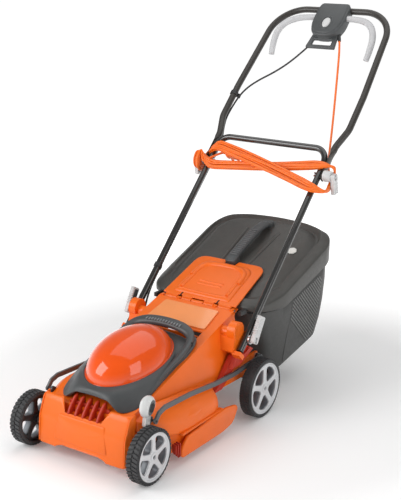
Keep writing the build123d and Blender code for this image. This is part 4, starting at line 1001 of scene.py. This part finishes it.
# ---- floor, light and camera
FLOOR = 70
floor_data = bpy.data.meshes.new("floor")
floor_data.from_pydata([(x * FLOOR, y * FLOOR, 0) for x, y in ((-1, -1), (1, -1), (1, 1), (-1, 1))], [],
                       [[0, 1, 2, 3]])
floor = add_object("floor", floor_data)
floor_material, tree, shader = new_material("floor_white")
set_inputs(shader, {"Base Color": (0.95, 0.95, 0.95, 1), "Roughness": 0.9, "Specular IOR Level": 0.1,
                    "Emission Color": (1, 1, 1, 1)})
# painted light: the sweep glows, faintly near the object and more strongly away from it, in place of lamp light
# falling on the far floor
where = tree.nodes.new("ShaderNodeNewGeometry")
far = tree.nodes.new("ShaderNodeVectorMath")
far.operation = "LENGTH"
tree.links.new(where.outputs["Position"], far.inputs[0])
tree.links.new(ramp(tree, far.outputs["Value"], (0.7, 1.6), (0.10, 0.75)), shader.inputs["Emission Strength"])
floor_data.materials.append(floor_material)

# a world that is bright at the horizon and dimmer overhead
bpy.context.scene.view_settings.view_transform = "Standard"
world = bpy.data.worlds.new("studio")
bpy.context.scene.world = world
world.use_nodes = True
sky = world.node_tree
background = sky.nodes["Background"]
set_inputs(background, {"Color": (1, 1, 1, 1)})
facing = sky.nodes.new("ShaderNodeTexCoord")
split = sky.nodes.new("ShaderNodeSeparateXYZ")
sky.links.new(facing.outputs["Generated"], split.inputs[0])
sky.links.new(ramp(sky, split.outputs["Z"], (0.02, 0.45), (0.85, 0.26)), background.inputs["Strength"])


def softbox(name, place, aim, size, power):
    light = bpy.data.lights.new(name, "AREA")
    light.shape = "RECTANGLE"
    light.size, light.size_y = size
    light.energy = power
    lamp = add_object(name, light)
    lamp.location = place
    lamp.rotation_euler = (Vector(aim) - Vector(place)).to_track_quat("-Z", "Y").to_euler()


softbox("key", (-1.5, -2.6, 1.9), (0, -0.4, 0.2), (1.9, 1.9), 58)
softbox("fill", (2.7, -0.8, 1.5), (0, -0.3, 0.25), (1.2, 2.0), 19)
softbox("top", (0.0, 0.6, 2.8), (0, -0.1, 0.2), (3.2, 3.0), 33)

AZIMUTH, ELEVATION, ROLL = radians(33.71), radians(15.74), radians(1.01)
TARGET = Vector((0.09327, -0.24796, 0.5102))
DISTANCE = 2.89115
back = Vector((sin(AZIMUTH) * cos(ELEVATION), -cos(AZIMUTH) * cos(ELEVATION), sin(ELEVATION)))
right = Vector((cos(AZIMUTH), sin(AZIMUTH), 0))
up = back.cross(right)
axes = (right * cos(ROLL) + up * sin(ROLL), up * cos(ROLL) - right * sin(ROLL), back)
lens = bpy.data.cameras.new("camera")
lens.lens = 76.33
lens.sensor_width = 36
camera = add_object("camera", lens)
camera.matrix_world = Matrix.Translation(TARGET + back * DISTANCE) @ Matrix(axes).transposed().to_4x4()
bpy.context.scene.camera = camera

bpy.context.view_layer.update()
